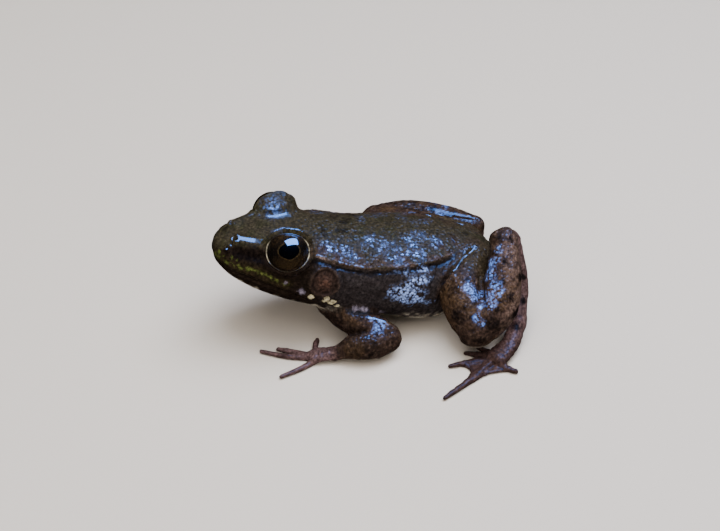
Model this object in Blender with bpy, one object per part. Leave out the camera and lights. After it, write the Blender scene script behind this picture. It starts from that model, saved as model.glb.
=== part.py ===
"""A young green frog at rest, a still model at life size, 40 mm from snout to vent.

The body is modelled whole, as lofts through named stations, and is then parted into its nodes by cuts
GAP wide. Frame: +X is the frog's left, -Y its front, +Z up, and it rests on the plane z = 0. Stations
are measured from the floor under the middle of the trunk, in millimetres. make_object() turns them into
Blender's metres, and centre_on_origin() then moves the whole frog to stand over the origin.
"""

import math

import bmesh
import bpy
import numpy as np
from mathutils import Matrix, Vector

MM = 0.001
GAP = 0.3  # width of every parting cut
HALF_GAP = GAP / 2
FLOOR = ((0.0, 0.0, 0.0), (0.0, 0.0, -1.0))  # a point of the plane that it rests on, and the way down
FAR = 60.0  # beyond the frog on every side
UP = Vector((0.0, 0.0, 1.0))
SNAP = 1e-8  # how near a point counts as on a cutting plane

# Skin: colour as linear RGB, roughness
BACK_OLIVE = ((0.058, 0.052, 0.034), 0.35)
HEAD_OLIVE = ((0.062, 0.052, 0.030), 0.35)
JAW_BROWN = ((0.050, 0.038, 0.024), 0.35)
LIMB_BROWN = ((0.068, 0.042, 0.028), 0.35)
FOOT_BROWN = ((0.055, 0.030, 0.028), 0.40)
EAR_BROWN = ((0.040, 0.022, 0.014), 0.45)
EYE_DARK = ((0.015, 0.008, 0.004), 0.08)

# The trunk from the snout to the vent, as upright sections. The columns are y of the section, half its
# width, the level where it is widest, its top, its bottom, and how square it is above and below.
TRUNK_RINGS = 38
TRUNK_SIDES = 36
TRUNK = (
    (-20.8, 0.0, 14.3, 14.3, 14.3, 2.2, 2.2),
    (-20.5, 1.6, 14.1, 15.7, 12.7, 2.2, 2.2),
    (-19.4, 3.3, 13.5, 16.5, 11.3, 2.3, 2.3),
    (-17.0, 5.0, 12.6, 17.0, 9.6, 2.6, 2.4),
    (-14.0, 6.4, 11.7, 17.2, 8.1, 2.8, 2.4),
    (-10.5, 7.3, 10.7, 17.0, 6.6, 2.6, 2.4),
    (-6.5, 7.7, 9.7, 16.2, 5.0, 2.3, 2.4),
    (-2.0, 7.7, 8.7, 15.2, 3.4, 2.2, 2.4),
    (3.0, 8.0, 7.7, 14.3, 1.7, 2.2, 2.4),
    (8.0, 8.0, 6.8, 13.4, 0.2, 2.2, 2.4),
    (12.5, 6.6, 6.3, 12.4, -0.1, 2.2, 2.3),
    (16.0, 4.6, 6.2, 11.0, 1.6, 2.2, 2.2),
    (18.6, 2.8, 6.6, 9.4, 4.1, 2.1, 2.1),
    (19.8, 1.3, 6.9, 8.3, 5.6, 2.0, 2.0),
    (20.1, 0.0, 7.0, 7.0, 7.0, 2.0, 2.0),
)

NECK_POINT = (0.0, -2.5, 10.0)
NECK_NORMAL = (0.0, 0.96, -0.28)

# The mouth in side view, as y and z, from the tip of the snout to its corner and then out at the throat
LIP_LINE = (
    (-22.0, 14.0),
    (-20.0, 13.5),
    (-17.0, 12.7),
    (-13.5, 11.5),
    (-10.5, 10.1),
    (-8.2, 8.8),
)
THROAT_EXIT = ((-7.5, 7.4), (-7.2, 2.0))
LIP_RADIUS = 0.32
LIP_RISE = 0.42  # of the lip's middle over the line of the mouth

EYE_CENTRE = (4.8, -11.0, 15.7)
EYE_RADIUS = 2.8
GAZE = (0.84, -0.27, 0.47)
LID_RADIUS = 3.5
LID_OPENING = 0.95  # from the eye's middle out to the rim of the lids
NOSTRIL = (2.35, -18.1, 16.1)
NOSTRIL_RADIUS = 0.42

EAR_CENTRE = (7.45, -6.2, 11.3)
EAR_AXIS = (0.985, 0.0, 0.17)
EAR_RADIUS = 1.55
EAR_DEPTH = 1.1
EAR_THICKNESS = 0.65
EAR_RIM = 0.38

# The fold of skin along each side of the back: y, and the angle round the trunk's section in degrees
BACK_FOLD = ((-7.6, 44.0), (-5.0, 37.0), (-2.0, 33.0), (1.5, 33.0), (5.0, 36.0), (8.5, 43.0), (11.0, 51.0))
FOLD_RADIUS = 0.42
# Its branch behind the ear
EAR_FOLD = ((-4.4, 33.0), (-3.7, 22.0), (-3.9, 6.0), (-4.6, -10.0))

# Limbs of the left side and of the right, as stations of x, y, z, half the breadth and half the depth
LEFT_LEG = {
    "thigh": ((2.6, 15.4, 8.2, 3.2, 2.9), (6.0, 13.6, 7.7, 3.2, 3.2), (9.6, 12.8, 6.3, 2.9, 3.2),
              (13.0, 13.6, 4.2, 2.2, 2.5)),
    "shank": ((12.9, 14.4, 4.1, 2.2, 2.4), (11.6, 17.1, 6.3, 2.7, 2.9), (8.8, 18.6, 9.3, 2.6, 2.7),
              (5.2, 19.6, 12.9, 1.8, 1.8)),
    "tarsus": ((4.2, 20.8, 12.6, 1.4, 1.4), (6.6, 21.7, 7.0, 1.3, 1.35), (11.0, 20.5, 2.8, 1.2, 1.2)),
    "foot": ((11.0, 20.5, 2.8, 1.2, 1.2), (13.6, 18.7, 1.5, 1.3, 1.0), (15.3, 16.5, 0.95, 1.6, 0.8)),
    "knee": (14.6, 14.2, 2.6),
    "heel": (3.9, 20.3, 14.6),
    "ankle": (10.8, 20.6, 3.0),
}
RIGHT_LEG = {
    "thigh": ((-2.6, 15.4, 7.8, 3.2, 2.8), (-5.8, 12.4, 7.2, 3.1, 3.1), (-9.6, 8.8, 6.4, 2.9, 3.0),
              (-13.0, 5.0, 5.7, 2.1, 2.4)),
    "shank": ((-13.7, 5.2, 5.6, 2.0, 2.2), (-13.6, 9.4, 5.5, 2.4, 2.6), (-11.8, 14.6, 5.5, 2.3, 2.4),
              (-9.0, 19.4, 5.7, 1.5, 1.6)),
    "tarsus": ((-8.9, 19.6, 4.4, 1.3, 1.3), (-10.6, 16.4, 2.4, 1.25, 1.2), (-12.6, 12.8, 1.3, 1.2, 1.0)),
    "foot": ((-12.6, 12.8, 1.3, 1.2, 1.0), (-13.3, 10.4, 1.0, 1.4, 0.8), (-13.9, 7.8, 0.85, 1.6, 0.75)),
    "knee": (-14.9, 3.4, 5.5),
    "heel": (-8.2, 20.9, 5.0),
    "ankle": (-12.4, 13.2, 1.45),
}
LEFT_ARM = {
    "upper_arm": ((4.0, -4.8, 5.4, 2.3, 2.3), (6.8, -3.0, 4.6, 2.2, 2.3), (8.9, -0.4, 3.9, 2.1, 2.1),
                  (10.1, 2.0, 2.9, 1.7, 1.8)),
    "forearm": ((10.4, 1.9, 2.3, 1.7, 1.7), (10.9, -0.2, 2.4, 2.0, 2.15), (10.7, -3.0, 2.15, 1.75, 1.9),
                (10.3, -5.4, 1.2, 1.0, 0.85)),
    "hand": ((10.3, -5.4, 1.2, 1.0, 0.85), (10.0, -7.0, 1.0, 1.2, 0.75), (9.7, -8.4, 0.8, 1.35, 0.65)),
    "elbow": (11.2, 3.5, 1.9),
    "wrist": (10.3, -5.2, 1.25),
}
RIGHT_ARM = {
    "upper_arm": ((-4.6, -1.6, 6.6, 2.2, 2.2), (-7.6, 0.6, 4.8, 2.1, 2.1), (-10.2, 3.0, 2.9, 1.7, 1.8)),
    "forearm": ((-10.5, 3.0, 2.3, 1.7, 1.7), (-11.0, 0.9, 2.3, 1.9, 1.9), (-10.7, -2.0, 1.8, 1.45, 1.4),
                (-10.1, -4.4, 1.2, 1.0, 0.85)),
    "hand": ((-10.1, -4.4, 1.2, 1.0, 0.85), (-9.7, -5.9, 1.0, 1.2, 0.75), (-9.3, -7.2, 0.8, 1.35, 0.65)),
    "elbow": (-11.4, 4.6, 1.9),
    "wrist": (-10.1, -4.2, 1.25),
}

# Digits: where each springs from the palm or sole, a bend on the way, and its tip, as x, y pairs
DIGIT_LEVEL = 0.34
FINGER_RADII = (0.48, 0.42, 0.32)
TOE_RADII = (0.55, 0.45, 0.32)
LEFT_FINGERS = (
    ((9.2, -7.8), (7.6, -8.0), (6.0, -7.4)),
    ((9.4, -8.6), (8.0, -11.0), (6.9, -13.2)),
    ((9.7, -8.8), (8.7, -12.2), (6.9, -15.6)),
    ((10.4, -8.5), (11.7, -11.0), (12.7, -13.7)),
)
RIGHT_FINGERS = (
    ((-8.8, -6.8), (-7.0, -7.6), (-5.2, -7.7)),
    ((-8.9, -7.4), (-7.6, -9.7), (-6.6, -11.9)),
    ((-9.3, -7.6), (-8.6, -11.0), (-8.0, -14.4)),
    ((-10.0, -7.3), (-11.3, -9.7), (-12.4, -12.2)),
)
LEFT_TOES = (
    ((14.3, 16.2), (13.2, 15.4), (12.1, 14.5)),
    ((14.6, 15.6), (13.7, 14.1), (13.0, 12.5)),
    ((15.3, 15.0), (15.0, 12.4), (15.2, 9.7)),
    ((16.0, 15.2), (18.7, 11.6), (21.4, 7.4)),
    ((16.2, 16.4), (17.3, 17.4), (18.2, 18.4)),
)
RIGHT_TOES = (
    ((-12.8, 7.8), (-11.8, 6.2), (-11.0, 4.8)),
    ((-13.2, 7.0), (-12.5, 3.9), (-11.9, 1.0)),
    ((-13.8, 6.6), (-13.8, 2.0), (-14.0, -2.4)),
    ((-14.4, 6.6), (-15.8, 0.8), (-17.2, -4.8)),
    ((-15.0, 7.2), (-17.2, 3.6), (-19.2, 0.0)),
)
# How far along each pair of neighbouring toes the web runs, as shares of their length
WEB_REACH = 0.72
WEB_DIP = 0.42
WEB_BOTTOM = 0.05
WEB_TOP = 0.55


def smooth_rows(rows, count, guide):
    """The rows read at count even steps along a smooth curve through them all.

    guide picks the columns whose distances set how far apart the rows are along the curve.
    """
    rows = np.array(rows, float)
    chords = np.linalg.norm(np.diff(rows[:, guide], axis=0), axis=1)
    at = np.concatenate([[0.0], np.cumsum(chords)])
    slopes = np.diff(rows, axis=0) / chords[:, None]
    tangents = np.empty_like(rows)
    before, after = chords[:-1, None], chords[1:, None]
    tangents[1:-1] = (slopes[:-1] * after + slopes[1:] * before) / (before + after)
    tangents[0], tangents[-1] = slopes[0], slopes[-1]
    wanted = np.linspace(0.0, at[-1], count)
    first = np.clip(np.searchsorted(at, wanted, side="right") - 1, 0, len(chords) - 1)
    span = chords[first][:, None]
    t = (wanted - at[first])[:, None] / span
    return (
        rows[first] * (2 * t**3 - 3 * t**2 + 1)
        + tangents[first] * span * (t**3 - 2 * t**2 + t)
        + rows[first + 1] * (3 * t**2 - 2 * t**3)
        + tangents[first + 1] * span * (t**3 - t**2)
    )


def trunk_sections(grow=0.0):
    """Rows of the trunk, swollen by grow on every side."""
    rows = smooth_rows(TRUNK, TRUNK_RINGS, guide=[0, 1])
    rows[:, 1] += grow
    rows[:, 3] += grow
    rows[:, 4] -= grow
    rows[0, 0] -= grow
    rows[-1, 0] += grow
    return rows


def section_point(row, angle):
    """The surface at an angle round one section: 0 is the frog's left side, 90 degrees its back."""
    y, half, widest, top, bottom, above, below = row
    cosine, sine = math.cos(angle), math.sin(angle)
    power = 2.0 / (above if sine >= 0 else below)
    across = math.copysign(abs(cosine) ** power, cosine)
    up = math.copysign(abs(sine) ** power, sine)
    return Vector((half * across, y, widest + (top - widest if up >= 0 else widest - bottom) * up))


def row_at(y):
    """The trunk's row at one y."""
    rows = trunk_sections()
    return [y] + [float(np.interp(y, rows[:, 0], rows[:, column])) for column in range(1, 7)]


def surface_at(y, degrees, side=1):
    point = section_point(row_at(y), math.radians(degrees))
    return Vector((side * point.x, point.y, point.z))


def lofted(rings, ends):
    """A closed mesh through rings of points, with one point closing each end."""
    mesh = bmesh.new()
    loops = [[mesh.verts.new(point) for point in ring] for ring in rings]
    for loop, following in zip(loops, loops[1:]):
        for i, vertex in enumerate(loop):
            j = (i + 1) % len(loop)
            mesh.faces.new((vertex, loop[j], following[j], following[i]))
    for loop, end, order in ((loops[0], ends[0], -1), (loops[-1], ends[1], 1)):
        tip = mesh.verts.new(end)
        for i, vertex in enumerate(loop):
            corner = loop[(i + 1) % len(loop)]
            mesh.faces.new((vertex, corner, tip)[::order])
    bmesh.ops.recalc_face_normals(mesh, faces=mesh.faces)
    return mesh


def trunk_mesh(grow=0.0):
    rows = trunk_sections(grow)
    angles = np.linspace(0.0, 2 * math.pi, TRUNK_SIDES, endpoint=False)
    rings = [[section_point(row, angle) for angle in angles] for row in rows[1:-1]]
    return lofted(rings, ((0.0, rows[0][0], rows[0][2]), (0.0, rows[-1][0], rows[-1][2])))


def limb(stations, sides=14, rings=12, cap_turns=(68, 45, 22)):
    """A closed limb with round ends through stations of x, y, z, half its breadth and half its depth.

    Its depth lies upright, as far as the limb's own direction allows.
    """
    rows = smooth_rows(stations, rings, guide=[0, 1, 2])
    places, radii = rows[:, :3], rows[:, 3:]
    directions = np.gradient(places, axis=0)
    directions /= np.linalg.norm(directions, axis=1)[:, None]
    angles = np.linspace(0.0, 2 * math.pi, sides, endpoint=False)

    def ring(place, direction, size):
        side = np.cross(direction, UP)
        side /= np.linalg.norm(side)
        top = np.cross(side, direction)
        return [place + side * size[0] * math.cos(a) + top * size[1] * math.sin(a) for a in angles]

    def cap(end, sign):
        """Rings that round one end off, from its tip inwards, and the tip."""
        reach = radii[end].mean()
        outward = directions[end] * sign * reach
        made = [
            ring(places[end] + outward * math.sin(turn), directions[end], radii[end] * math.cos(turn))
            for turn in np.radians(cap_turns)
        ]
        return made, places[end] + outward

    first_cap, first_tip = cap(0, -1.0)
    last_cap, last_tip = cap(-1, 1.0)
    body = [ring(*row) for row in zip(places, directions, radii)]
    return lofted(first_cap + body + last_cap[::-1], (first_tip, last_tip))


def cord(points, radius, rings):
    """A thin round cord through points."""
    return limb([(*point, radius, radius) for point in points], sides=6, rings=rings, cap_turns=(45,))


def ball(centre, radius, segments):
    mesh = bmesh.new()
    matrix = Matrix.Translation(centre)
    bmesh.ops.create_uvsphere(
        mesh, u_segments=segments, v_segments=segments // 2, radius=radius, matrix=matrix
    )
    return mesh


def pillar(start, axis, radius, length, segments=24):
    """A round pillar from its start, length along its axis."""
    axis = Vector(axis).normalized()
    turn = axis.to_track_quat("Z", "Y").to_matrix().to_4x4()
    middle = Vector(start) + axis * length / 2
    mesh = bmesh.new()
    bmesh.ops.create_cone(
        mesh,
        cap_ends=True,
        segments=segments,
        radius1=radius,
        radius2=radius,
        depth=length,
        matrix=Matrix.Translation(middle) @ turn,
    )
    return mesh


def ring_cord(centre, axis, radius, thickness, segments=24, sides=6):
    """A closed ring of round section about an axis."""
    axis = Vector(axis).normalized()
    across = axis.cross(Vector((0.0, 1.0, 0.0))).normalized()
    along = axis.cross(across)
    mesh = bmesh.new()
    loops = []
    for i in range(segments):
        turn = 2 * math.pi * i / segments
        outward = across * math.cos(turn) + along * math.sin(turn)
        centre_line = Vector(centre) + outward * radius
        loop = []
        for j in range(sides):
            lean = 2 * math.pi * j / sides
            offset = outward * math.cos(lean) + axis * math.sin(lean)
            loop.append(mesh.verts.new(centre_line + offset * thickness))
        loops.append(loop)
    for loop, following in zip(loops, loops[1:] + loops[:1]):
        for j in range(sides):
            k = (j + 1) % sides
            mesh.faces.new((loop[j], loop[k], following[k], following[j]))
    bmesh.ops.recalc_face_normals(mesh, faces=mesh.faces)
    return mesh


def slab(outline, low, high, axis):
    """A flat outline given thickness along an axis, X or Z, from low to high."""
    mesh = bmesh.new()
    at = {
        "X": lambda point, level: (level, point[0], point[1]),
        "Z": lambda point, level: (point[0], point[1], level),
    }[axis]
    bottom = [mesh.verts.new(at(point, low)) for point in outline]
    top = [mesh.verts.new(at(point, high)) for point in outline]
    mesh.faces.new(bottom[::-1])
    mesh.faces.new(top)
    for i in range(len(outline)):
        j = (i + 1) % len(outline)
        mesh.faces.new((bottom[i], bottom[j], top[j], top[i]))
    bmesh.ops.recalc_face_normals(mesh, faces=mesh.faces)
    return mesh


def trim(mesh, point, normal):
    """Cuts off what lies on the normal's side of a plane, and closes the cut."""
    geometry = mesh.verts[:] + mesh.edges[:] + mesh.faces[:]
    bmesh.ops.bisect_plane(
        mesh, geom=geometry, dist=SNAP, plane_co=point, plane_no=normal, clear_outer=True
    )
    rim = [edge for edge in mesh.edges if edge.is_boundary]
    if rim:
        bmesh.ops.holes_fill(mesh, edges=rim, sides=0)
    return mesh


def part_at(joint, first, second):
    """Parts two limb meshes by the plane through their joint that halves the angle between them."""
    joint = Vector(joint)
    towards = [(middle_of(mesh) - joint).normalized() for mesh in (first, second)]
    normal = (towards[1] - towards[0]).normalized()
    trim(first, joint - normal * HALF_GAP, normal)
    trim(second, joint + normal * HALF_GAP, -normal)


def middle_of(mesh):
    return sum((vertex.co for vertex in mesh.verts), Vector()) / len(mesh.verts)


def make_object(name, mesh):
    """A Blender object in metres from a mesh in millimetres, which is freed."""
    bmesh.ops.scale(mesh, vec=(MM, MM, MM), verts=mesh.verts)
    data = bpy.data.meshes.new(name)
    mesh.to_mesh(data)
    mesh.free()
    made = bpy.data.objects.new(name, data)
    bpy.context.scene.collection.objects.link(made)
    return made


def combined(first, meshes, operation, solver="EXACT"):
    """An object joined with meshes, cut by them or kept inside them, by one Boolean, applied."""
    group = bpy.data.collections.new("pieces")
    bpy.context.scene.collection.children.link(group)
    for mesh in meshes:
        piece = make_object("piece", mesh)
        bpy.context.scene.collection.objects.unlink(piece)
        group.objects.link(piece)
    boolean = first.modifiers.new("Combine", "BOOLEAN")
    boolean.operation = operation
    boolean.operand_type = "COLLECTION"
    boolean.collection = group
    boolean.solver = solver
    bpy.context.view_layer.update()
    graph = bpy.context.evaluated_depsgraph_get()
    data = bpy.data.meshes.new_from_object(first.evaluated_get(graph))
    first.modifiers.remove(boolean)
    first.data = data
    for piece in list(group.objects):
        bpy.data.objects.remove(piece)
    bpy.data.collections.remove(group)
    keep_largest(first)
    return first


def keep_largest(made):
    """Drops every closed surface of an object's mesh but the one that encloses most."""
    mesh = bmesh.new()
    mesh.from_mesh(made.data)
    left = set(mesh.verts)
    surfaces = []
    while left:
        queue = [left.pop()]
        found = set(queue)
        while queue:
            for edge in queue.pop().link_edges:
                for vertex in edge.verts:
                    if vertex in left:
                        left.remove(vertex)
                        found.add(vertex)
                        queue.append(vertex)
        surfaces.append(found)
    if len(surfaces) > 1:
        largest = max(surfaces, key=extent)
        bmesh.ops.delete(mesh, geom=[v for v in mesh.verts if v not in largest], context="VERTS")
        mesh.to_mesh(made.data)
    mesh.free()


def extent(vertices):
    """The volume of the box round some vertices."""
    places = np.array([vertex.co for vertex in vertices])
    return float(np.prod(np.ptp(places, axis=0)))


def copy_of(made, name):
    twin = bpy.data.objects.new(name, made.data.copy())
    bpy.context.scene.collection.objects.link(twin)
    return twin


def trimmed(made, point, normal):
    """The object cut off on the normal's side of a plane given in millimetres."""
    mesh = bmesh.new()
    mesh.from_mesh(made.data)
    trim(mesh, Vector(point) * MM, normal)
    mesh.to_mesh(made.data)
    mesh.free()
    return made


def paint(made, finish):
    colour, roughness = finish
    material = bpy.data.materials.new(made.name)
    material.use_nodes = True
    shader = material.node_tree.nodes["Principled BSDF"]
    shader.inputs["Base Color"].default_value = (*colour, 1.0)
    shader.inputs["Roughness"].default_value = roughness
    shader.inputs["Metallic"].default_value = 0.0
    made.data.materials.clear()
    made.data.materials.append(material)
    made.data.shade_smooth()
    made.data.set_sharp_from_angle(angle=math.radians(40))
    return made


def mirrored(point, side):
    return Vector((side * point[0], point[1], point[2]))


def lid_domes():
    """The bulge of skin over each eye, in which the lids open."""
    return [ball(mirrored(EYE_CENTRE, side), LID_RADIUS, 26) for side in (1, -1)]


def lips():
    """The upper lip, as a cord round the snout from one corner of the mouth to the other."""
    line = smooth_rows(LIP_LINE, 60, guide=[0, 1])
    path = []
    for y in np.linspace(LIP_LINE[-1][0], TRUNK[0][0], 60):
        row = row_at(y)
        level = float(np.interp(y, line[:, 0], line[:, 1])) + LIP_RISE
        depth = (row[2] - level) / max(row[2] - row[4], 1e-6)
        if depth >= 1.0 or row[1] < 0.4:
            break
        across = (1 - max(depth, 0.0) ** row[6]) ** (1 / row[6])
        path.append(Vector((row[1] * across, y, level)))
    left = path[::4]
    right = [mirrored(point, -1) for point in left[::-1]]
    return [cord(left + right, LIP_RADIUS, rings=36)]


def folds(path, radius):
    """Cords of skin that lie half sunk along the trunk, one on each side."""
    rows = smooth_rows(path, 9, guide=[0, 1])
    return [
        cord([surface_at(y, degrees, side) for y, degrees in rows], radius, rings=12)
        for side in (1, -1)
    ]


def ear_rims():
    return [
        ring_cord(mirrored(EAR_CENTRE, side), mirrored(EAR_AXIS, side), EAR_RADIUS + GAP + EAR_RIM / 2,
                  EAR_RIM)
        for side in (1, -1)
    ]


def ear_cups():
    """What is cut away for the eardrums."""
    cups = []
    for side in (1, -1):
        axis = mirrored(EAR_AXIS, side).normalized()
        start = mirrored(EAR_CENTRE, side) - axis * EAR_DEPTH
        cups.append(pillar(start, axis, EAR_RADIUS + GAP, EAR_DEPTH + 3.0))
    return cups


def eye_sockets():
    """What is cut away for the eyeballs and for the opening between the lids."""
    cuts = []
    for side in (1, -1):
        gaze = mirrored(GAZE, side).normalized()
        centre = mirrored(EYE_CENTRE, side)
        cuts.append(ball(centre, EYE_RADIUS + GAP, 26))
        cuts.append(pillar(centre + gaze * LID_OPENING, gaze, LID_RADIUS + 0.4, 4.0))
    return cuts


def nostrils():
    return [ball(mirrored(NOSTRIL, side), NOSTRIL_RADIUS, 12) for side in (1, -1)]


def below_mouth(offset):
    """All that lies under the line of the mouth and before the throat, moved up and back by offset."""
    line = smooth_rows(LIP_LINE + THROAT_EXIT, 18, guide=[0, 1])
    slopes = np.gradient(line, axis=0)
    slopes /= np.linalg.norm(slopes, axis=1)[:, None]
    away = np.stack([-slopes[:, 1], slopes[:, 0]], axis=1)
    moved = line + away * offset
    moved[0, 0] = -FAR
    moved[-1, 1] = -FAR
    return slab([*moved, (-FAR, -FAR)], -FAR, FAR, "X")


def make_trunk():
    """The head, the lower jaw and the torso, made as one and parted."""
    whole = make_object("torso", trunk_mesh())
    added = lid_domes() + lips() + ear_rims() + folds(BACK_FOLD, FOLD_RADIUS)
    added += folds(EAR_FOLD, FOLD_RADIUS)
    combined(whole, added, "UNION")
    head = copy_of(whole, "head")
    normal = Vector(NECK_NORMAL).normalized()
    point = Vector(NECK_POINT)
    trimmed(whole, point + normal * HALF_GAP, -normal)
    trimmed(whole, *FLOOR)
    trimmed(head, point - normal * HALF_GAP, normal)
    jaw = copy_of(head, "lower_jaw")
    combined(jaw, [below_mouth(-HALF_GAP)], "INTERSECT")
    combined(head, [below_mouth(HALF_GAP)], "DIFFERENCE")
    combined(head, eye_sockets() + ear_cups() + nostrils(), "DIFFERENCE")
    paint(head, HEAD_OLIVE)
    paint(jaw, JAW_BROWN)
    paint(whole, BACK_OLIVE)


def make_eye(name, side):
    paint(make_object(name, ball(mirrored(EYE_CENTRE, side), EYE_RADIUS, 28)), EYE_DARK)


def make_eardrum(name, side):
    """A thin disc in its cup, with the knob of the ear bone at its middle."""
    axis = mirrored(EAR_AXIS, side).normalized()
    start = mirrored(EAR_CENTRE, side) - axis * (EAR_DEPTH - GAP)
    drum = make_object(name, pillar(start, axis, EAR_RADIUS, EAR_THICKNESS))
    knob = ball(start + axis * (EAR_THICKNESS - 0.25), 0.5, 12)
    paint(combined(drum, [knob], "UNION"), EAR_BROWN)


def digit(points, radii):
    stations = [(x, y, DIGIT_LEVEL, r, r) for (x, y), r in zip(points, radii)]
    return limb(stations, sides=7, rings=5, cap_turns=(60, 30))


def webs(toes):
    """A membrane between each two neighbouring toes, hollowed between their tips."""
    made = []
    for (root, bend, tip), (next_root, next_bend, next_tip) in zip(toes, toes[1:]):
        near, middle = along((root, bend, tip), WEB_REACH), along((root, bend, tip), WEB_DIP)
        far, far_middle = (along((next_root, next_bend, next_tip), s) for s in (WEB_REACH, WEB_DIP))
        dip = (np.array(middle) + far_middle) / 2
        outline = [root, middle, near, dip, far, far_middle, next_root]
        made.append(slab(outline, WEB_BOTTOM, WEB_TOP, "Z"))
    return made


def along(points, share):
    """The point a share of the way along a path."""
    points = np.array(points)
    lengths = np.linalg.norm(np.diff(points, axis=0), axis=1)
    at = np.concatenate([[0.0], np.cumsum(lengths)])
    return [float(np.interp(share * at[-1], at, points[:, column])) for column in (0, 1)]


def make_limb(names, spec, digits, radii, webbed):
    """One leg or arm: its lengths and its hand or foot, parted at its joints and cut by the trunk."""
    keys, joints, suffix = names
    meshes = [limb(spec[key]) for key in keys]
    for joint, first, second in zip(joints, meshes, meshes[1:]):
        part_at(spec[joint], first, second)
    for key, mesh in zip(keys, meshes):
        made = make_object(key + suffix, mesh)
        if key == keys[0] or key == "shank":
            combined(made, [trunk_mesh(GAP)], "DIFFERENCE")
        if key == keys[-1]:
            added = [digit(points, radii) for points in digits]
            combined(made, added + (webs(digits) if webbed else []), "UNION")
        trimmed(made, *FLOOR)
        paint(made, FOOT_BROWN if key == keys[-1] else LIMB_BROWN)


def centre_on_origin():
    """Moves every node so that the middle of the frog's footprint is the origin."""
    nodes = [made for made in bpy.data.objects if made.type == "MESH"]
    corners = np.array([corner for made in nodes for corner in made.bound_box])
    middle = (corners.min(axis=0) + corners.max(axis=0)) / 2
    shift = Matrix.Translation((-middle[0], -middle[1], 0.0))
    for made in nodes:
        made.data.transform(shift)


def clear_scene():
    for old in list(bpy.data.objects):
        bpy.data.objects.remove(old)


def main():
    clear_scene()
    make_trunk()
    leg, leg_joints = ("thigh", "shank", "tarsus", "foot"), ("knee", "heel", "ankle")
    arm, arm_joints = ("upper_arm", "forearm", "hand"), ("elbow", "wrist")
    for suffix, side in (("_left", 1), ("_right", -1)):
        make_eye("eye" + suffix, side)
        make_eardrum("tympanum" + suffix, side)
    make_limb((leg, leg_joints, "_left"), LEFT_LEG, LEFT_TOES, TOE_RADII, webbed=True)
    make_limb((leg, leg_joints, "_right"), RIGHT_LEG, RIGHT_TOES, TOE_RADII, webbed=True)
    make_limb((arm, arm_joints, "_left"), LEFT_ARM, LEFT_FINGERS, FINGER_RADII, webbed=False)
    make_limb((arm, arm_joints, "_right"), RIGHT_ARM, RIGHT_FINGERS, FINGER_RADII, webbed=False)
    centre_on_origin()


main()
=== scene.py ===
"""A young green frog at rest, at life size: its wet skin, its eyes and the pale rims of their lids.

The frog is measured in millimetres from the floor under the middle of its trunk: +X is its left, -Y its
front, +Z up. to_row() turns such places into the frame's metres. One skin takes the place of all the
nodes of flesh. It is grown from the solids' own lofts: each becomes a field of distances, the fields are
melted together, and the surface where the field is nought then gets its lids, folds, pits and warts.
"""

import itertools
import math

import bmesh
import bpy
import numpy as np
import openvdb
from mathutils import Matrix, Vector, kdtree


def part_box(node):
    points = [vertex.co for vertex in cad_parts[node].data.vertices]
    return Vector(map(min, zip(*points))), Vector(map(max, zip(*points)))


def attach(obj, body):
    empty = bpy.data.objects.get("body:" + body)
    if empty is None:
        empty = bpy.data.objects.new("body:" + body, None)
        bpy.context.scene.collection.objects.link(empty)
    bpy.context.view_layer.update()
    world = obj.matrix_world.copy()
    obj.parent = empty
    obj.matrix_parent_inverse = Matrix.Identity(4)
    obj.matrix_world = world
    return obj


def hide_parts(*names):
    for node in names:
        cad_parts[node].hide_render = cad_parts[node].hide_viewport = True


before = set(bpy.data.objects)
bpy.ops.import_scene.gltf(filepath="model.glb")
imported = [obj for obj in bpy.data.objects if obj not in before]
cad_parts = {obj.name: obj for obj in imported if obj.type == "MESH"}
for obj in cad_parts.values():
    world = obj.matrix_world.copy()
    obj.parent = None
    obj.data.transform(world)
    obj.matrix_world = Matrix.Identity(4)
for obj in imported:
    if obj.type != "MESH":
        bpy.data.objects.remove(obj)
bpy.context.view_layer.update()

MM = 0.001
FLESH = [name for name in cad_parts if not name.startswith("eye_")]

# The trunk from the snout to the vent, as upright sections. The columns are y of the section, half its
# width, the level where it is widest, its top, its bottom, and how square it is above and below.
TRUNK = (
    (-20.8, 0.0, 14.3, 14.3, 14.3, 2.2, 2.2),
    (-20.5, 1.6, 14.1, 15.7, 12.7, 2.2, 2.2),
    (-19.4, 3.3, 13.5, 16.5, 11.3, 2.3, 2.3),
    (-17.0, 5.0, 12.6, 17.0, 9.6, 2.6, 2.4),
    (-14.0, 6.4, 11.7, 17.2, 8.1, 2.8, 2.4),
    (-10.5, 7.3, 10.7, 17.0, 6.6, 2.6, 2.4),
    (-6.5, 7.7, 9.7, 16.2, 5.0, 2.3, 2.4),
    (-2.0, 7.7, 8.7, 15.2, 3.4, 2.2, 2.4),
    (3.0, 8.0, 7.7, 14.3, 1.7, 2.2, 2.4),
    (8.0, 8.0, 6.8, 13.4, 0.2, 2.2, 2.4),
    (12.5, 6.6, 6.3, 12.4, -0.1, 2.2, 2.3),
    (16.0, 4.6, 6.2, 11.0, 1.6, 2.2, 2.2),
    (18.6, 2.8, 6.6, 9.4, 4.1, 2.1, 2.1),
    (19.8, 1.3, 6.9, 8.3, 5.6, 2.0, 2.0),
    (20.1, 0.0, 7.0, 7.0, 7.0, 2.0, 2.0),
)

# The mouth in side view, as y and z, from the tip of the snout to its corner
LIP_LINE = ((-22.0, 14.0), (-20.0, 13.5), (-17.0, 12.7), (-13.5, 11.5), (-10.5, 10.1), (-8.2, 8.8))
LIP_TIP = (0.0, -20.8, 13.9)
# The fold of skin behind each ear: y, and the angle round the trunk's section in degrees
EAR_FOLD = ((-4.4, 33.0), (-3.7, 22.0), (-3.9, 6.0), (-4.6, -10.0))

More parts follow.
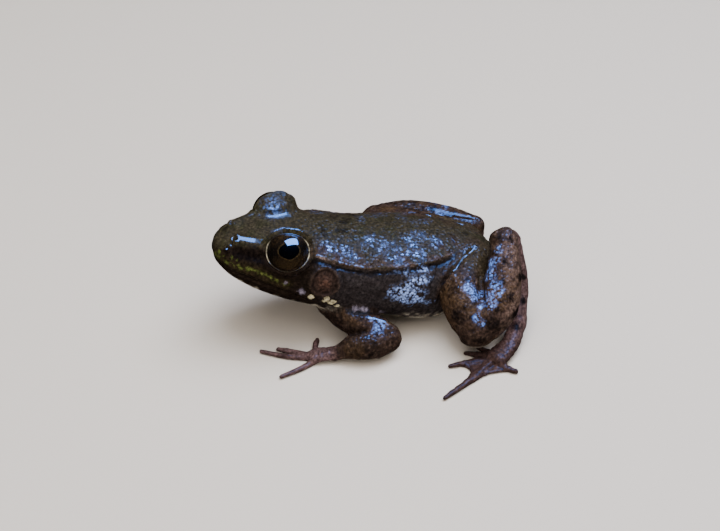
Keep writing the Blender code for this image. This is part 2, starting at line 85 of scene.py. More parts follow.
# Limbs of the left side and of the right, as stations of x, y, z, half the breadth and half the depth
LEFT_LEG = {
    "thigh": ((2.6, 15.4, 8.2, 3.2, 2.9), (6.0, 13.6, 7.7, 3.2, 3.2), (9.6, 12.8, 6.3, 2.9, 3.2),
              (13.0, 13.6, 4.2, 2.2, 2.5)),
    "shank": ((12.9, 14.4, 4.1, 2.2, 2.4), (11.6, 17.1, 6.3, 2.7, 2.9), (8.8, 18.6, 9.3, 2.6, 2.7),
              (5.2, 19.6, 12.9, 1.8, 1.8)),
    "tarsus": ((4.2, 20.8, 12.6, 1.4, 1.4), (6.6, 21.7, 7.0, 1.3, 1.35), (11.0, 20.5, 2.8, 1.2, 1.2)),
    "foot": ((11.0, 20.5, 2.8, 1.2, 1.2), (13.6, 18.7, 1.5, 1.3, 1.0), (15.3, 16.5, 0.95, 1.6, 0.8)),
}
RIGHT_LEG = {
    "thigh": ((-2.6, 15.4, 7.8, 3.2, 2.8), (-5.8, 12.4, 7.2, 3.1, 3.1), (-9.6, 8.8, 6.4, 2.9, 3.0),
              (-13.0, 5.0, 5.7, 2.1, 2.4)),
    "shank": ((-13.7, 5.2, 5.6, 2.0, 2.2), (-13.6, 9.4, 5.5, 2.4, 2.6), (-11.8, 14.6, 5.5, 2.3, 2.4),
              (-9.0, 19.4, 5.7, 1.5, 1.6)),
    "tarsus": ((-8.9, 19.6, 4.4, 1.3, 1.3), (-10.6, 16.4, 2.4, 1.25, 1.2), (-12.6, 12.8, 1.3, 1.2, 1.0)),
    "foot": ((-12.6, 12.8, 1.3, 1.2, 1.0), (-13.3, 10.4, 1.0, 1.4, 0.8), (-13.9, 7.8, 0.85, 1.6, 0.75)),
}
LEFT_ARM = {
    "upper_arm": ((4.0, -4.8, 5.4, 2.3, 2.3), (6.8, -3.0, 4.6, 2.2, 2.3), (8.9, -0.4, 3.9, 2.1, 2.1),
                  (10.1, 2.0, 2.9, 1.7, 1.8)),
    "forearm": ((10.4, 1.9, 2.3, 1.7, 1.7), (10.9, -0.2, 2.4, 2.0, 2.15), (10.7, -3.0, 2.15, 1.75, 1.9),
                (10.3, -5.4, 1.2, 1.0, 0.85)),
    "hand": ((10.3, -5.4, 1.2, 1.0, 0.85), (10.0, -7.0, 1.0, 1.2, 0.75), (9.7, -8.4, 0.8, 1.35, 0.65)),
}
RIGHT_ARM = {
    "upper_arm": ((-4.6, -1.6, 6.6, 2.2, 2.2), (-7.6, 0.6, 4.8, 2.1, 2.1), (-10.2, 3.0, 2.9, 1.7, 1.8)),
    "forearm": ((-10.5, 3.0, 2.3, 1.7, 1.7), (-11.0, 0.9, 2.3, 1.9, 1.9), (-10.7, -2.0, 1.8, 1.45, 1.4),
                (-10.1, -4.4, 1.2, 1.0, 0.85)),
    "hand": ((-10.1, -4.4, 1.2, 1.0, 0.85), (-9.7, -5.9, 1.0, 1.2, 0.75), (-9.3, -7.2, 0.8, 1.35, 0.65)),
}

# Digits: where each springs from the palm or sole, a bend on the way, and its tip, as x, y pairs, all at
# one level, and their radii at those places
DIGIT_LEVEL = 0.34
FINGER_RADII = (0.48, 0.42, 0.32)
TOE_RADII = (0.55, 0.45, 0.32)
LEFT_FINGERS = (
    ((9.2, -7.8), (7.6, -8.0), (6.0, -7.4)),
    ((9.4, -8.6), (8.0, -11.0), (6.9, -13.2)),
    ((9.7, -8.8), (8.7, -12.2), (6.9, -15.6)),
    ((10.4, -8.5), (11.7, -11.0), (12.7, -13.7)),
)
RIGHT_FINGERS = (
    ((-8.8, -6.8), (-7.0, -7.6), (-5.2, -7.7)),
    ((-8.9, -7.4), (-7.6, -9.7), (-6.6, -11.9)),
    ((-9.3, -7.6), (-8.6, -11.0), (-8.0, -14.4)),
    ((-10.0, -7.3), (-11.3, -9.7), (-12.4, -12.2)),
)
LEFT_TOES = (
    ((14.3, 16.2), (13.2, 15.4), (12.1, 14.5)),
    ((14.6, 15.6), (13.7, 14.1), (13.0, 12.5)),
    ((15.3, 15.0), (15.0, 12.4), (15.2, 9.7)),
    ((16.0, 15.2), (18.7, 11.6), (21.4, 7.4)),
    ((16.2, 16.4), (17.3, 17.4), (18.2, 18.4)),
)
RIGHT_TOES = (
    ((-12.8, 7.8), (-11.8, 6.2), (-11.0, 4.8)),
    ((-13.2, 7.0), (-12.5, 3.9), (-11.9, 1.0)),
    ((-13.8, 6.6), (-13.8, 2.0), (-14.0, -2.4)),
    ((-14.4, 6.6), (-15.8, 0.8), (-17.2, -4.8)),
    ((-15.0, 7.2), (-17.2, 3.6), (-19.2, 0.0)),
)
# A web's share of its toes' length, how much it is hollowed between them, and its two levels
WEB_REACH = 0.72
WEB_HOLLOW = 0.27
WEB_LOW = 0.02
WEB_HIGH = 0.50

# The eye: its middle, the ball of its lids, the axis of their opening, the way the pupil points, its own
# ball, and how far the skin lies under it
EYE_CENTRE = (4.8, -11.0, 15.7)
LID_RADIUS = 3.4
SEEN_GAZE = (0.785, -0.12, 0.605)
PUPIL_GAZE = (0.759, -0.046, 0.649)
SEEN_RADIUS = 2.95
UNDER_EYE = 2.55
RIM_RADIUS = 0.09
PUPIL_HALVES = (1.40, 1.06)  # of its breadth and its height
CORNEA_RISE = 0.025  # of the ball's radius, falling away over this many degrees from the pupil's middle
CORNEA_DEGREES = 45.0
FAR_EYE_SHIFT = (0.0, -0.55, -0.15)
# How far the lids open at the corners, and how much further the upper and lower lid reach over the ball
OPENING_DEGREES = 77.0
UPPER_LID_DEGREES = 21.0
FAR_UPPER_LID_DEGREES = 31.0
LOWER_LID_DEGREES = 14.0

# The line that parts the back from the side, before the ridge and behind it, as y and z
BACK_EDGE = (
    (-21.0, 14.9), (-19.2, 16.0), (-17.8, 16.5), (-15.0, 16.6), (-13.0, 16.2), (-10.0, 15.3), (-8.0, 15.1),
)
RUMP_EDGE = ((14.0, 10.6), (18.0, 8.2), (20.1, 7.2))
# The bar along the side of the snout and the way it faces, the hollow under it, the nostril and a pit
CANTHUS = ((1.8, -18.0, 16.7), (3.0, -15.4, 17.0), (3.5, -14.0, 17.0))
CANTHUS_FACING = np.array((0.4, 0.06, 0.91))
CHEEK = ((3.4, -17.4, 15.4), (4.9, -15.0, 15.3))
NOSTRIL_SEEN = (1.95, -17.75, 16.75)
SNOUT_PIT = (2.55, -18.9, 15.9)
# The middle of the eardrum, as y and z, its radius, and how far out from the middle its side begins
EAR_SEEN = (-6.45, 11.6)
EAR_SEEN_RADIUS = 2.0
EAR_SIDE = 5.5
# Small folds of the flank ahead of the thigh
GROIN_FOLDS = (
    ((8.1, 5.2, 5.2), (8.0, 7.2, 7.2), (7.1, 9.0, 9.6), (5.4, 10.3, 11.3)),
    ((8.2, 3.2, 4.8), (8.1, 5.2, 6.6), (7.6, 7.2, 9.0), (6.2, 8.8, 11.2)),
    ((8.1, 1.0, 4.6), (8.1, 3.2, 5.8), (7.9, 5.0, 7.6)),
)
# The ridge along each side of the back: y, and the angle round the trunk's section in degrees
SEEN_FOLD = (
    (-7.6, 48), (-7.0, 47), (-4.7, 42), (-2.7, 38), (0.1, 36.5),
    (3.6, 39), (6.6, 43), (8.8, 46), (11.2, 50), (12.8, 57),
)
# The crease where the thigh leaves the body
HIP_CREASE = (
    (1.9, 17.2, 10.4), (3.8, 15.1, 11.0), (6.3, 12.4, 10.6),
    (7.2, 10.8, 9.3), (7.6, 9.9, 6.9), (7.7, 9.6, 5.0),
)
# The greenish stripe along the upper lip
LIP_STRIPE = (
    (1.6, -20.4, 14.5), (3.2, -19.2, 14.1), (4.1, -18.1, 13.9), (4.9, -16.8, 14.0),
    (5.6, -15.4, 13.8), (6.1, -14.1, 13.3), (6.6, -13.0, 12.6), (6.9, -11.7, 11.9),
)
# Pale spots along the jaw and flank: x, y, z, radius
CREAM_SPOTS = ((7.6, -8.4, 9.7, 0.42), (7.9, -6.3, 8.9, 0.6), (7.7, -5.5, 8.2, 0.55), (7.3, -4.8, 7.4, 0.4))
LILAC_SPOTS = (
    (7.4, -9.7, 10.7, 0.5), (7.0, -11.8, 12.2, 0.3), (7.75, -2.25, 6.75, 0.5), (8.0, -1.25, 6.6, 0.42),
    (8.1, -0.7, 6.5, 0.4), (7.4, 1.6, 5.1, 0.5),
)
# Where the skin is wettest and carries painted bluish glints: x, y, z, radius
WET_PATCHES = (
    (4.0, -5.0, 15.2, 1.3), (4.9, -3.0, 14.3, 1.3), (2.4, 0.6, 14.5, 1.1), (3.6, 2.8, 13.8, 1.3),
    (4.9, 3.8, 13.0, 1.5), (4.7, 6.9, 12.6, 1.4), (3.0, 6.8, 13.3, 1.3), (1.8, 8.4, 13.2, 1.4),
    (2.4, 10.0, 12.8, 1.2), (7.6, 5.6, 9.0, 2.9), (10.0, 13.5, 9.2, 1.1), (10.4, 14.1, 8.0, 1.3),
    (12.0, 14.1, 7.0, 1.0), (9.2, 16.5, 10.8, 1.1), (11.4, 16.4, 9.8, 1.4), (12.3, 15.8, 8.6, 1.2),
    (8.0, 17.2, 12.0, 0.9), (13.2, 13.9, 6.8, 0.8), (14.1, 14.3, 6.3, 0.6), (7.0, 18.3, 13.3, 0.6),
    (9.6, -0.2, 5.8, 0.85), (10.3, 0.8, 5.2, 1.05), (10.7, -0.3, 4.5, 0.5), (2.5, -11.7, 18.15, 1.05),
)
# The far shank's smooth upper edge, and the groove beside it
FAR_SHANK_EDGE = ((-13.1, 12.5, 8.0), (-11.8, 14.7, 7.8), (-10.4, 16.7, 7.6), (-8.9, 19.6, 7.1))
FAR_SHANK_GROOVE = (
    (-10.1, 15.3, 7.3), (-9.6, 16.4, 7.2), (-9.0, 17.8, 7.2), (-8.4, 19.1, 7.1), (-8.2, 20.3, 6.7),
)
# Where the upper arm leaves the body, its wet upper edge, its fold over the forearm, and its shaded front
ARM_CREASE = (
    (7.7, -3.4, 6.6), (8.2, -2.6, 6.5), (8.5, -1.7, 6.4), (8.5, -0.5, 6.2), (8.2, 0.7, 5.6), (8.0, 1.7, 5.0),
)
ARM_EDGE = ((9.4, -1.0, 6.0), (9.4, 0.4, 5.8), (9.6, 1.5, 5.3), (9.9, 2.3, 4.9))
ELBOW_FOLD = (
    (9.3, -3.6, 3.5), (9.8, -3.3, 3.95), (10.1, -2.8, 4.25), (10.3, -2.1, 4.5), (10.4, -1.4, 4.65),
    (10.55, -0.7, 4.75),
)
ARM_FRONT = ((6.6, -5.8, 5.1), (7.9, -4.8, 5.1), (9.0, -3.8, 4.6))
# Where the thigh meets the shank, and the thigh's wet edge beside it
KNEE_CREASE = (
    (6.8, 15.4, 9.8), (8.2, 15.5, 9.3), (9.7, 15.5, 8.9),
    (11.0, 15.3, 8.5), (12.3, 15.0, 8.15), (13.2, 14.95, 7.6),
)
KNEE_EDGE = ((9.2, 14.2, 8.8), (10.2, 14.3, 8.2), (11.3, 14.4, 7.9), (12.6, 14.5, 7.5))
# Creases and edges of the limbs as they lie: line, rise, width, and the share that fades at each end
LIMB_FOLDS = (
    (FAR_SHANK_GROOVE, -0.26, 0.24, 0.3), (ARM_CREASE, -0.3, 0.3, 0.2), (ELBOW_FOLD, -0.4, 0.3, 0.2),
    (KNEE_CREASE, -0.4, 0.34, 0.2), (ARM_EDGE, 0.16, 0.35, 0.2), (KNEE_EDGE, 0.14, 0.35, 0.2),
)
# The heel that shank and tarsus make on the left, and the paler outer side of that shank
HEEL = ((4.4, 18.7, 13.35, 0.85, 0.85), (4.4, 20.05, 14.0, 0.85, 0.85))
OUTER_SHANK = ((13.2, 18.6, 6.0), (11.0, 20.4, 9.4), (7.2, 20.9, 13.2))
# Pale marks over the stripe of the upper lip
LIP_MARKS = (
    (2.1, -20.0, 15.1, 0.33), (2.7, -19.5, 14.8, 0.25), (3.4, -18.5, 15.0, 0.3), (3.9, -17.9, 14.7, 0.24),
)
# The gap inside the upper lid's dome, darkened with painted shade, and the foot of the dome
LID_GAP = ((2.4, -13.2, 17.5), (2.15, -11.7, 17.7), (2.45, -10.3, 17.6))
LID_FOOT = ((1.9, -13.6, 17.1), (1.6, -11.6, 17.2), (2.1, -9.9, 17.2))
# Single places: the wettest of the flank, the middle of the painted glints on the lid's dome, its top, the
# middle of a painted shadow on the forearm, the root of the arm, darkened there, and the thigh by the hip,
# tinted olive-brown
FLANK_PATCH = (7.6, 5.6, 9.0)
DOME_PATCH = (2.5, -11.7, 18.2)
DOME_TOP = (3.4, -11.6, 18.6)
FOREARM_SHADE = (11.2, -2.2, 2.6)
ARM_ROOT = (7.4, -1.8, 7.6)
HIP = LEFT_LEG["thigh"][0][:3]
# Dark bars across the left leg as it lies: places on the skin, radius
LEG_BARS = (
    (9.9, 20.7, 10.3, 0.8), (11.6, 20.3, 5.2, 0.8), (7.0, 21.6, 12.0, 0.6), (12.9, 18.6, 9.4, 0.9),
    (9.0, 18.6, 12.9, 0.9), (14.6, 16.2, 6.4, 0.9), (12.0, 11.4, 7.0, 1.1), (9.3, 11.6, 8.9, 0.9),
    (11.6, 13.6, 8.0, 0.8), (14.0, 12.4, 3.8, 0.9), (6.0, 20.0, 14.2, 0.7), (13.6, 16.6, 8.0, 0.5),
    (7.3, 21.9, 8.1, 0.8), (9.5, 21.6, 5.7, 0.7), (13.0, 19.5, 6.7, 0.9), (12.4, 20.0, 3.4, 0.8),
)

# The view: degrees round from the frog's front and above the floor, millimetres from the target
VIEW_AZIMUTH = 78.5
VIEW_ELEVATION = 38.0
VIEW_DISTANCE = 220.0
VIEW_TARGET = (0.0, 0.0, 8.0)
PIXELS_PER_MM = 7.0
PICTURE_WIDTH = 720
SENSOR_MM = 36.0

# Lamps: name, place and size in metres, power, colour, and whether it is there for the wet skin to mirror
LAMPS = (
    ("sky_panel", (-0.03, 0.10, 0.30), (0.20, 0.36), 7.2, (0.11, 0.33, 1.0), True),
    ("overhead", (-0.02, 0.07, 0.30), (0.18, 0.30), 1.5, (0.88, 0.94, 1.0), False),
    ("warm_fill", (0.10, 0.0, 0.40), (0.5, 0.5), 2.8, (1.0, 0.95, 0.90), False),
    ("side_fill", (0.40, -0.22, 0.16), (0.3, 0.2), 0.9, (1.0, 0.96, 0.92), False),
)
AIR_COLOUR = (0.85, 0.90, 1.0, 1.0)
AIR_STRENGTH = 0.12
FLOOR_COLOUR = (0.56, 0.50, 0.43, 1.0)
FLOOR_HALF = 1.5

# The lattice of distances: its step and its corners in millimetres
VOXEL = 0.28
LATTICE = ((-24.0, -23.5, -1.7), (24.0, 25.5, 21.5))
BAND = 9  # voxels of distance kept on each side of a surface
CLEAR = VOXEL * BAND
# How softly, in millimetres, each shape melts into the rest
MELT = {
    "trunk": 0.1, "lids": 1.0, "shank": 0.35, "heel": 1.2, "tarsus": 0.4, "foot": 0.5, "toe": 0.4, "web": 0.3,
    "upper_arm": 1.2, "forearm": 0.6, "hand": 0.6, "finger": 0.5,
}
# The sizes of the skin's granules and of its painted bluish glints, and how many warts it has, how wide and
# how high
GRANULE_MM = 0.52
GLINT_MM = 0.36
WARTS = 2600
WART_SIZES = (0.28, 0.5)
WART_RISES = (0.04, 0.13)
# A place well beyond the frog, and corners of the boxes of skin that need small faces: head, hand and foot
FAR = 99.0
FINE_BOXES = (
    ((-2.0, -FAR, 6.5), (FAR, -3.2, FAR)), ((-FAR, -FAR, 12.5), (FAR, -3.2, FAR)),
    ((5.5, -FAR, 0.1), (FAR, -4.5, 2.0)), ((11.0, 7.0, 0.1), (FAR, FAR, 2.0)),
)


def smooth_rows(rows, count, guide):
    """The rows read at count even steps along a smooth curve through them all."""
    rows = np.array(rows, float)
    chords = np.linalg.norm(np.diff(rows[:, guide], axis=0), axis=1)
    at = np.concatenate([[0.0], np.cumsum(chords)])
    slopes = np.diff(rows, axis=0) / chords[:, None]
    tangents = np.empty_like(rows)
    before, after = chords[:-1, None], chords[1:, None]
    tangents[1:-1] = (slopes[:-1] * after + slopes[1:] * before) / (before + after)
    tangents[0], tangents[-1] = slopes[0], slopes[-1]
    wanted = np.linspace(0.0, at[-1], count)
    first = np.clip(np.searchsorted(at, wanted, side="right") - 1, 0, len(chords) - 1)
    span = chords[first][:, None]
    t = (wanted - at[first])[:, None] / span
    return (
        rows[first] * (2 * t**3 - 3 * t**2 + 1)
        + tangents[first] * span * (t**3 - 2 * t**2 + t)
        + rows[first + 1] * (3 * t**2 - 2 * t**3)
        + tangents[first + 1] * span * (t**3 - t**2)
    )


def soft_step(value, low, high):
    t = np.clip((value - low) / (high - low), 0.0, 1.0)
    return t * t * (3 - 2 * t)


def bell(distance, width):
    return np.exp(-((distance / width) ** 2))


def unit(vector):
    vector = np.asarray(vector, float)
    return vector / np.linalg.norm(vector)


def mirrored(point, side):
    return np.array([side * point[0], point[1], point[2]])


def distance(points, place):
    return np.linalg.norm(points - np.array(place), axis=1)


def to_left(points):
    """The points, with those of the right side mirrored to the left."""
    own = points.copy()
    own[:, 0] = np.abs(own[:, 0])
    return own


def height_on(line, y):
    """The height of a line of y and z at each y."""
    line = np.array(line)
    return np.interp(y, line[:, 0], line[:, 1])


def lengths_along(line):
    """How far along a bent line each of its places is."""
    return np.concatenate([[0.0], np.cumsum(np.linalg.norm(np.diff(line, axis=0), axis=1))])


def noise(points, size, seed):
    """Smooth random values between -1 and 1 that change over about size millimetres."""
    grid = np.random.default_rng(seed).uniform(-1, 1, (64, 64, 64))
    place = points / size
    base = np.floor(place).astype(int)
    t = place - base
    t = t * t * (3 - 2 * t)
    total = np.zeros(len(points))
    for corner in itertools.product((0, 1), repeat=3):
        weight = np.prod(np.where(corner, t, 1 - t), axis=1)
        index = (base + corner) % 64
        total += weight * grid[index[:, 0], index[:, 1], index[:, 2]]
    return total


def line_distance(points, line):
    """Each point's distance to a bent line, and how far along the line its nearest place is, 0 to 1."""
    line = np.array(line, float)
    lengths = np.linalg.norm(np.diff(line, axis=0), axis=1)
    nearest, share, start = np.full(len(points), 1e9), np.zeros(len(points)), 0.0
    for a, b, length in zip(line, line[1:], lengths):
        t = np.clip((points - a) @ (b - a) / length**2, 0, 1)
        away = distance(points - a, t[:, None] * (b - a))
        near = away < nearest
        nearest = np.where(near, away, nearest)
        share = np.where(near, (start + t * length) / lengths.sum(), share)
        start += length
    return nearest, share


def ends_faded(share, part):
    return soft_step(share, 0.0, part) * soft_step(1 - share, 0.0, part)


EYE_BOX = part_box("eye_left")
ROW_SHIFT = np.array((EYE_BOX[0] + EYE_BOX[1]) / 2) / MM - np.array(EYE_CENTRE)


def to_row(points):
    """Places measured from under the trunk, as the frame's metres."""
    return (np.asarray(points) + ROW_SHIFT) * MM


def section_points(row, angles):
    y, half, widest, top, bottom, above, below = row
    cosine, sine = np.cos(angles), np.sin(angles)
    power = 2.0 / np.where(sine >= 0, above, below)
    across = np.sign(cosine) * np.abs(cosine) ** power
    up = np.sign(sine) * np.abs(sine) ** power
    height = np.where(up >= 0, top - widest, widest - bottom)
    return np.stack([half * across, np.full_like(across, y), widest + height * up], axis=1)


TRUNK_ROWS = smooth_rows(TRUNK, 160, guide=[0, 1])


def row_at(y):
    return [y] + [float(np.interp(y, TRUNK_ROWS[:, 0], TRUNK_ROWS[:, c])) for c in range(1, 7)]


def surface_at(y, degrees):
    return section_points(row_at(y), np.radians([degrees]))[0]


RIDGE = np.array([surface_at(y, degrees) for y, degrees in SEEN_FOLD])


def surface_at_level(y, z):
    """The place on the trunk's side at this y and height."""
    _, half, widest, top, bottom, above, below = row_at(y)
    reach = (z - widest) / ((top - widest) if z > widest else (widest - bottom))
    squareness = above if z > widest else below
    sine = min(abs(reach), 1.0) ** (squareness / 2)
    across = math.sqrt(max(0.0, 1 - sine * sine)) ** (2 / squareness)
    return np.array([half * across, y, z])


def lofted(rings, ends):
    """Points, quads and triangles of a closed surface through rings of points."""
    sides = len(rings[0])
    points = np.concatenate([*rings, [ends[0]], [ends[1]]])
    quads = []
    for i in range(len(rings) - 1):
        low = i * sides
        for j in range(sides):
            k = (j + 1) % sides
            quads.append((low + j, low + k, low + sides + k, low + sides + j))
    triangles = []
    last = (len(rings) - 1) * sides
    for j in range(sides):
        k = (j + 1) % sides
        triangles.append((k, j, len(points) - 2))
        triangles.append((last + j, last + k, len(points) - 1))
    return points, np.array(quads), np.array(triangles)


def trunk():
    angles = np.linspace(0.0, 2 * math.pi, 120, endpoint=False)
    rings = [section_points(row, angles) for row in TRUNK_ROWS[1:-1]]
    ends = [(0.0, TRUNK_ROWS[i][0], TRUNK_ROWS[i][2]) for i in (0, -1)]
    return lofted(rings, ends)


def limb(stations, sides=36, rings=40):
    """A limb with round ends through stations of x, y, z, half its breadth and half its depth."""
    rows = smooth_rows(stations, rings, guide=[0, 1, 2])
    places, radii = rows[:, :3], rows[:, 3:]
    directions = np.gradient(places, axis=0)
    directions /= np.linalg.norm(directions, axis=1)[:, None]
    angles = np.linspace(0.0, 2 * math.pi, sides, endpoint=False)[:, None]

    def ring(place, direction, size):
        side = unit(np.cross(direction, (0.0, 0.0, 1.0)))
        top = np.cross(side, direction)
        return place + side * size[0] * np.cos(angles) + top * size[1] * np.sin(angles)

    def cap(end, sign):
        outward = directions[end] * sign * radii[end].mean()
        made = [
            ring(places[end] + outward * math.sin(turn), directions[end], radii[end] * math.cos(turn))
            for turn in np.radians((82, 72, 60, 45, 30, 15))
        ]
        return made, places[end] + outward

    first_cap, first_tip = cap(0, -1.0)
    last_cap, last_tip = cap(-1, 1.0)
    body = [ring(*row) for row in zip(places, directions, radii)]
    return lofted(first_cap + body + last_cap[::-1], (first_tip, last_tip))


def digit(points, radii):
    stations = [(x, y, DIGIT_LEVEL, r, r) for (x, y), r in zip(points, radii)]
    return limb(stations, sides=16, rings=24)


def ball(centre, radius):
    angles = np.linspace(0.0, 2 * math.pi, 48, endpoint=False)
    rings = []
    for lean in np.radians(np.linspace(-85, 85, 30)):
        wide, high = radius * math.cos(lean), radius * math.sin(lean)
        rings.append(np.array([(wide * math.cos(a), wide * math.sin(a), high) for a in angles]) + centre)
    ends = [np.array(centre) + (0, 0, -radius), np.array(centre) + (0, 0, radius)]
    return lofted(rings, ends)


def along(points, share):
    points = np.array(points)
    at = lengths_along(points)
    return np.array([np.interp(share * at[-1], at, points[:, c]) for c in (0, 1)])


def web_between(first, second):
    """A closed membrane between two toes, hollowed between their tips."""
    steps = 14
    sheet = []
    for i, j in itertools.product(range(steps + 1), repeat=2):
        across = i / steps
        share = (WEB_REACH - WEB_HOLLOW * math.sin(math.pi * across)) * j / steps
        sheet.append(along(first, share) * (1 - across) + along(second, share) * across)
    points = np.array([(*place, level) for level in (WEB_HIGH, WEB_LOW) for place in sheet])
    under = len(sheet)
    number = np.arange(under).reshape(steps + 1, steps + 1)
    corners = (number[:-1, :-1], number[:-1, 1:], number[1:, 1:], number[1:, :-1])
    top = np.stack(corners, axis=-1).reshape(-1, 4)
    rim = np.concatenate([number[:-1, 0], number[-1, :-1], number[:0:-1, -1], number[0, :0:-1]])
    after = np.roll(rim, -1)
    edge = np.stack([rim, after, after + under, rim + under], axis=1)
    return points, np.concatenate([top, top[:, [0, 3, 2, 1]] + under, edge]), np.zeros((0, 3), int)


class Field:
    """Distances in millimetres to a surface, negative inside it, on a lattice round the whole frog."""

    def __init__(self, low, high):
        self.low = np.floor(np.array(low) / VOXEL).astype(int)
        self.shape = np.ceil(np.array(high) / VOXEL).astype(int) - self.low + 1
        self.values = np.full(self.shape, CLEAR, np.float32)
        self.transform = openvdb.createLinearTransform(voxelSize=VOXEL)

    def window(self, low, high):
        """The part of the lattice round a box, as slices, and the places of its points."""
        first = np.clip(np.floor((np.array(low) - CLEAR) / VOXEL).astype(int) - self.low, 0, self.shape)
        last = np.clip(np.ceil((np.array(high) + CLEAR) / VOXEL).astype(int) - self.low + 1, 0, self.shape)
        slices = tuple(slice(a, b) for a, b in zip(first, last))
        axes = [(np.arange(a, b) + low_i) * VOXEL for a, b, low_i in zip(first, last, self.low)]
        return slices, np.meshgrid(*axes, indexing="ij", sparse=True)

    def melt(self, shape, reach):
        """Joins a closed shape to the field, softly over reach, in millimetres or as a function of place."""
        points, quads, triangles = shape
        slices, places = self.window(points.min(axis=0), points.max(axis=0))
        grid = openvdb.FloatGrid.createLevelSetFromPolygons(
            points.astype(np.float32),
            triangles=triangles.astype(np.uint32),
            quads=quads.astype(np.uint32),
            transform=self.transform,
            halfWidth=BAND,
        )
        found = np.full([s.stop - s.start for s in slices], CLEAR, np.float32)
        grid.copyToArray(found, ijk=tuple(int(s.start + low) for s, low in zip(slices, self.low)))
        width = reach(*places) if callable(reach) else reach
        here = self.values[slices]
        overlap = np.clip(width - np.abs(here - found), 0.0, None) / width
        self.values[slices] = np.minimum(here, found) - overlap * overlap * width / 4
        return slices, found

    def surface(self):
        """Points and quads where the field is nought."""
        grid = openvdb.FloatGrid(background=CLEAR)
        grid.transform = self.transform
        grid.copyFromArray(np.ascontiguousarray(self.values), ijk=tuple(int(i) for i in self.low))
        points, quads = grid.convertToQuads(isovalue=0.0)
        return points.astype(float), quads.astype(int)

    def place(self, points):
        index = np.rint(points / VOXEL).astype(int) - self.low
        return tuple(np.clip(index, 0, self.shape - 1).T)


def near_hip(hip):
    def reach(x, y, z):
        away = np.sqrt((x - hip[0]) ** 2 + (y - hip[1]) ** 2 + (z - hip[2]) ** 2)
        return 0.35 + 1.9 * bell(away, 5.0)
    return reach


def grow_body():
    """The melted field of the whole frog, and the distances to its limbs and to its hands and feet."""
    field = Field(*LATTICE)
    owners = {name: np.full(field.shape, CLEAR, np.float32) for name in ("trunk", "limb", "foot")}

    def add(shape, reach, owner):
        slices, found = field.melt(shape, reach)
        owners[owner][slices] = np.minimum(owners[owner][slices], found)

    add(trunk(), MELT["trunk"], "trunk")
    for side in (1, -1):
        add(ball(eye_centre(side), LID_RADIUS), MELT["lids"], "trunk")
    for spec, toes in ((LEFT_LEG, LEFT_TOES), (RIGHT_LEG, RIGHT_TOES)):
        add(limb(spec["thigh"]), near_hip(spec["thigh"][0]), "limb")
        add(limb(spec["shank"]), MELT["shank"], "limb")
        if spec is LEFT_LEG:
            add(limb(HEEL), MELT["heel"], "limb")
        for part in ("tarsus", "foot"):
            add(limb(spec[part]), MELT[part], "foot")
        for points in toes:
            add(digit(points, TOE_RADII), MELT["toe"], "foot")
        for first, second in zip(toes, toes[1:]):
            add(web_between(first, second), MELT["web"], "foot")
    for spec, fingers in ((LEFT_ARM, LEFT_FINGERS), (RIGHT_ARM, RIGHT_FINGERS)):
        for part, owner in (("upper_arm", "limb"), ("forearm", "limb"), ("hand", "foot")):
            add(limb(spec[part]), MELT[part], owner)
        for points in fingers:
            add(digit(points, FINGER_RADII), MELT["finger"], "foot")
    return field, owners


def largest_part(points, quads):
    """Only the quads and points of the largest closed surface."""
    label = np.arange(len(points))
    while True:
        new = label.copy()
        np.minimum.at(new, quads.reshape(-1), np.repeat(label[quads].min(axis=1), 4))
        new = new[new]
        if (new == label).all():
            break
        label = new
    kept = label == np.bincount(label).argmax()
    number = np.cumsum(kept) - 1
    return points[kept], number[quads[kept[quads].all(axis=1)]]


def linked(name, data):
    made = bpy.data.objects.new(name, data)
    bpy.context.scene.collection.objects.link(made)
    return made


def mesh_object(name, points, faces):
    data = bpy.data.meshes.new(name)
    data.from_pydata(to_row(points).tolist(), [], [list(map(int, face)) for face in faces])
    data.update()
    data.shade_smooth()
    return linked(name, data)


def read_points(data):
    """A mesh's points and normals, measured from under the trunk."""
    points, normals = np.empty(len(data.vertices) * 3), np.empty(len(data.vertices) * 3)
    data.vertices.foreach_get("co", points)
    data.vertex_normals.foreach_get("vector", normals)
    return points.reshape(-1, 3) / MM - ROW_SHIFT, normals.reshape(-1, 3)


def write_points(data, points):
    data.vertices.foreach_set("co", to_row(points).reshape(-1))
    data.update()


def wants_detail(points):
    """Where the skin needs small faces: the head, the ridge of the back and the near hand and foot."""
    inside = [((points > low) & (points < high)).all(axis=1) for low, high in FINE_BOXES]
    return np.any([*inside, line_distance(points, RIDGE)[0] < 1.1], axis=0)


def refine(data):
    points, _ = read_points(data)
    wanted = wants_detail(points)
    work = bmesh.new()
    work.from_mesh(data)
    edges = [edge for edge in work.edges if all(wanted[vertex.index] for vertex in edge.verts)]
    bmesh.ops.subdivide_edges(work, edges=edges, cuts=1, use_grid_fill=True, smooth=1.0)
    work.to_mesh(data)
    work.free()
    data.shade_smooth()


def mouth_line():
    left = [surface_at_level(y, z) for y, z in LIP_LINE[1:]]
    right = [mirrored(point, -1) for point in left[::-1]]
    return right + [np.array(LIP_TIP)] + left


def eye_centre(side):
    """The middle of each eye as it is seen: the far one sits a little further forward."""
    return mirrored(EYE_CENTRE, side) + (np.array(FAR_EYE_SHIFT) if side < 0 else 0.0)


def opening_axis(side):
    return unit(mirrored(SEEN_GAZE, side))


def up_across(axis):
    """The way across an axis that leads most nearly upward."""
    return unit(np.array((0.0, 0.0, 1.0)) - axis * axis[2])


def opening_degrees(directions, axis):
    """How far from the axis the lids open, in degrees, on the side where each direction from the eye lies."""
    sideways = directions - (directions @ axis)[:, None] * axis
    rise = sideways @ up_across(axis) / (np.linalg.norm(sideways, axis=1) + 1e-9)
    upper, lower = soft_step(rise, 0.25, 1.05), soft_step(-rise, 0.1, 1.05)
    upper_reach = UPPER_LID_DEGREES if axis[0] > 0 else FAR_UPPER_LID_DEGREES
    return OPENING_DEGREES - upper_reach * upper - LOWER_LID_DEGREES * lower


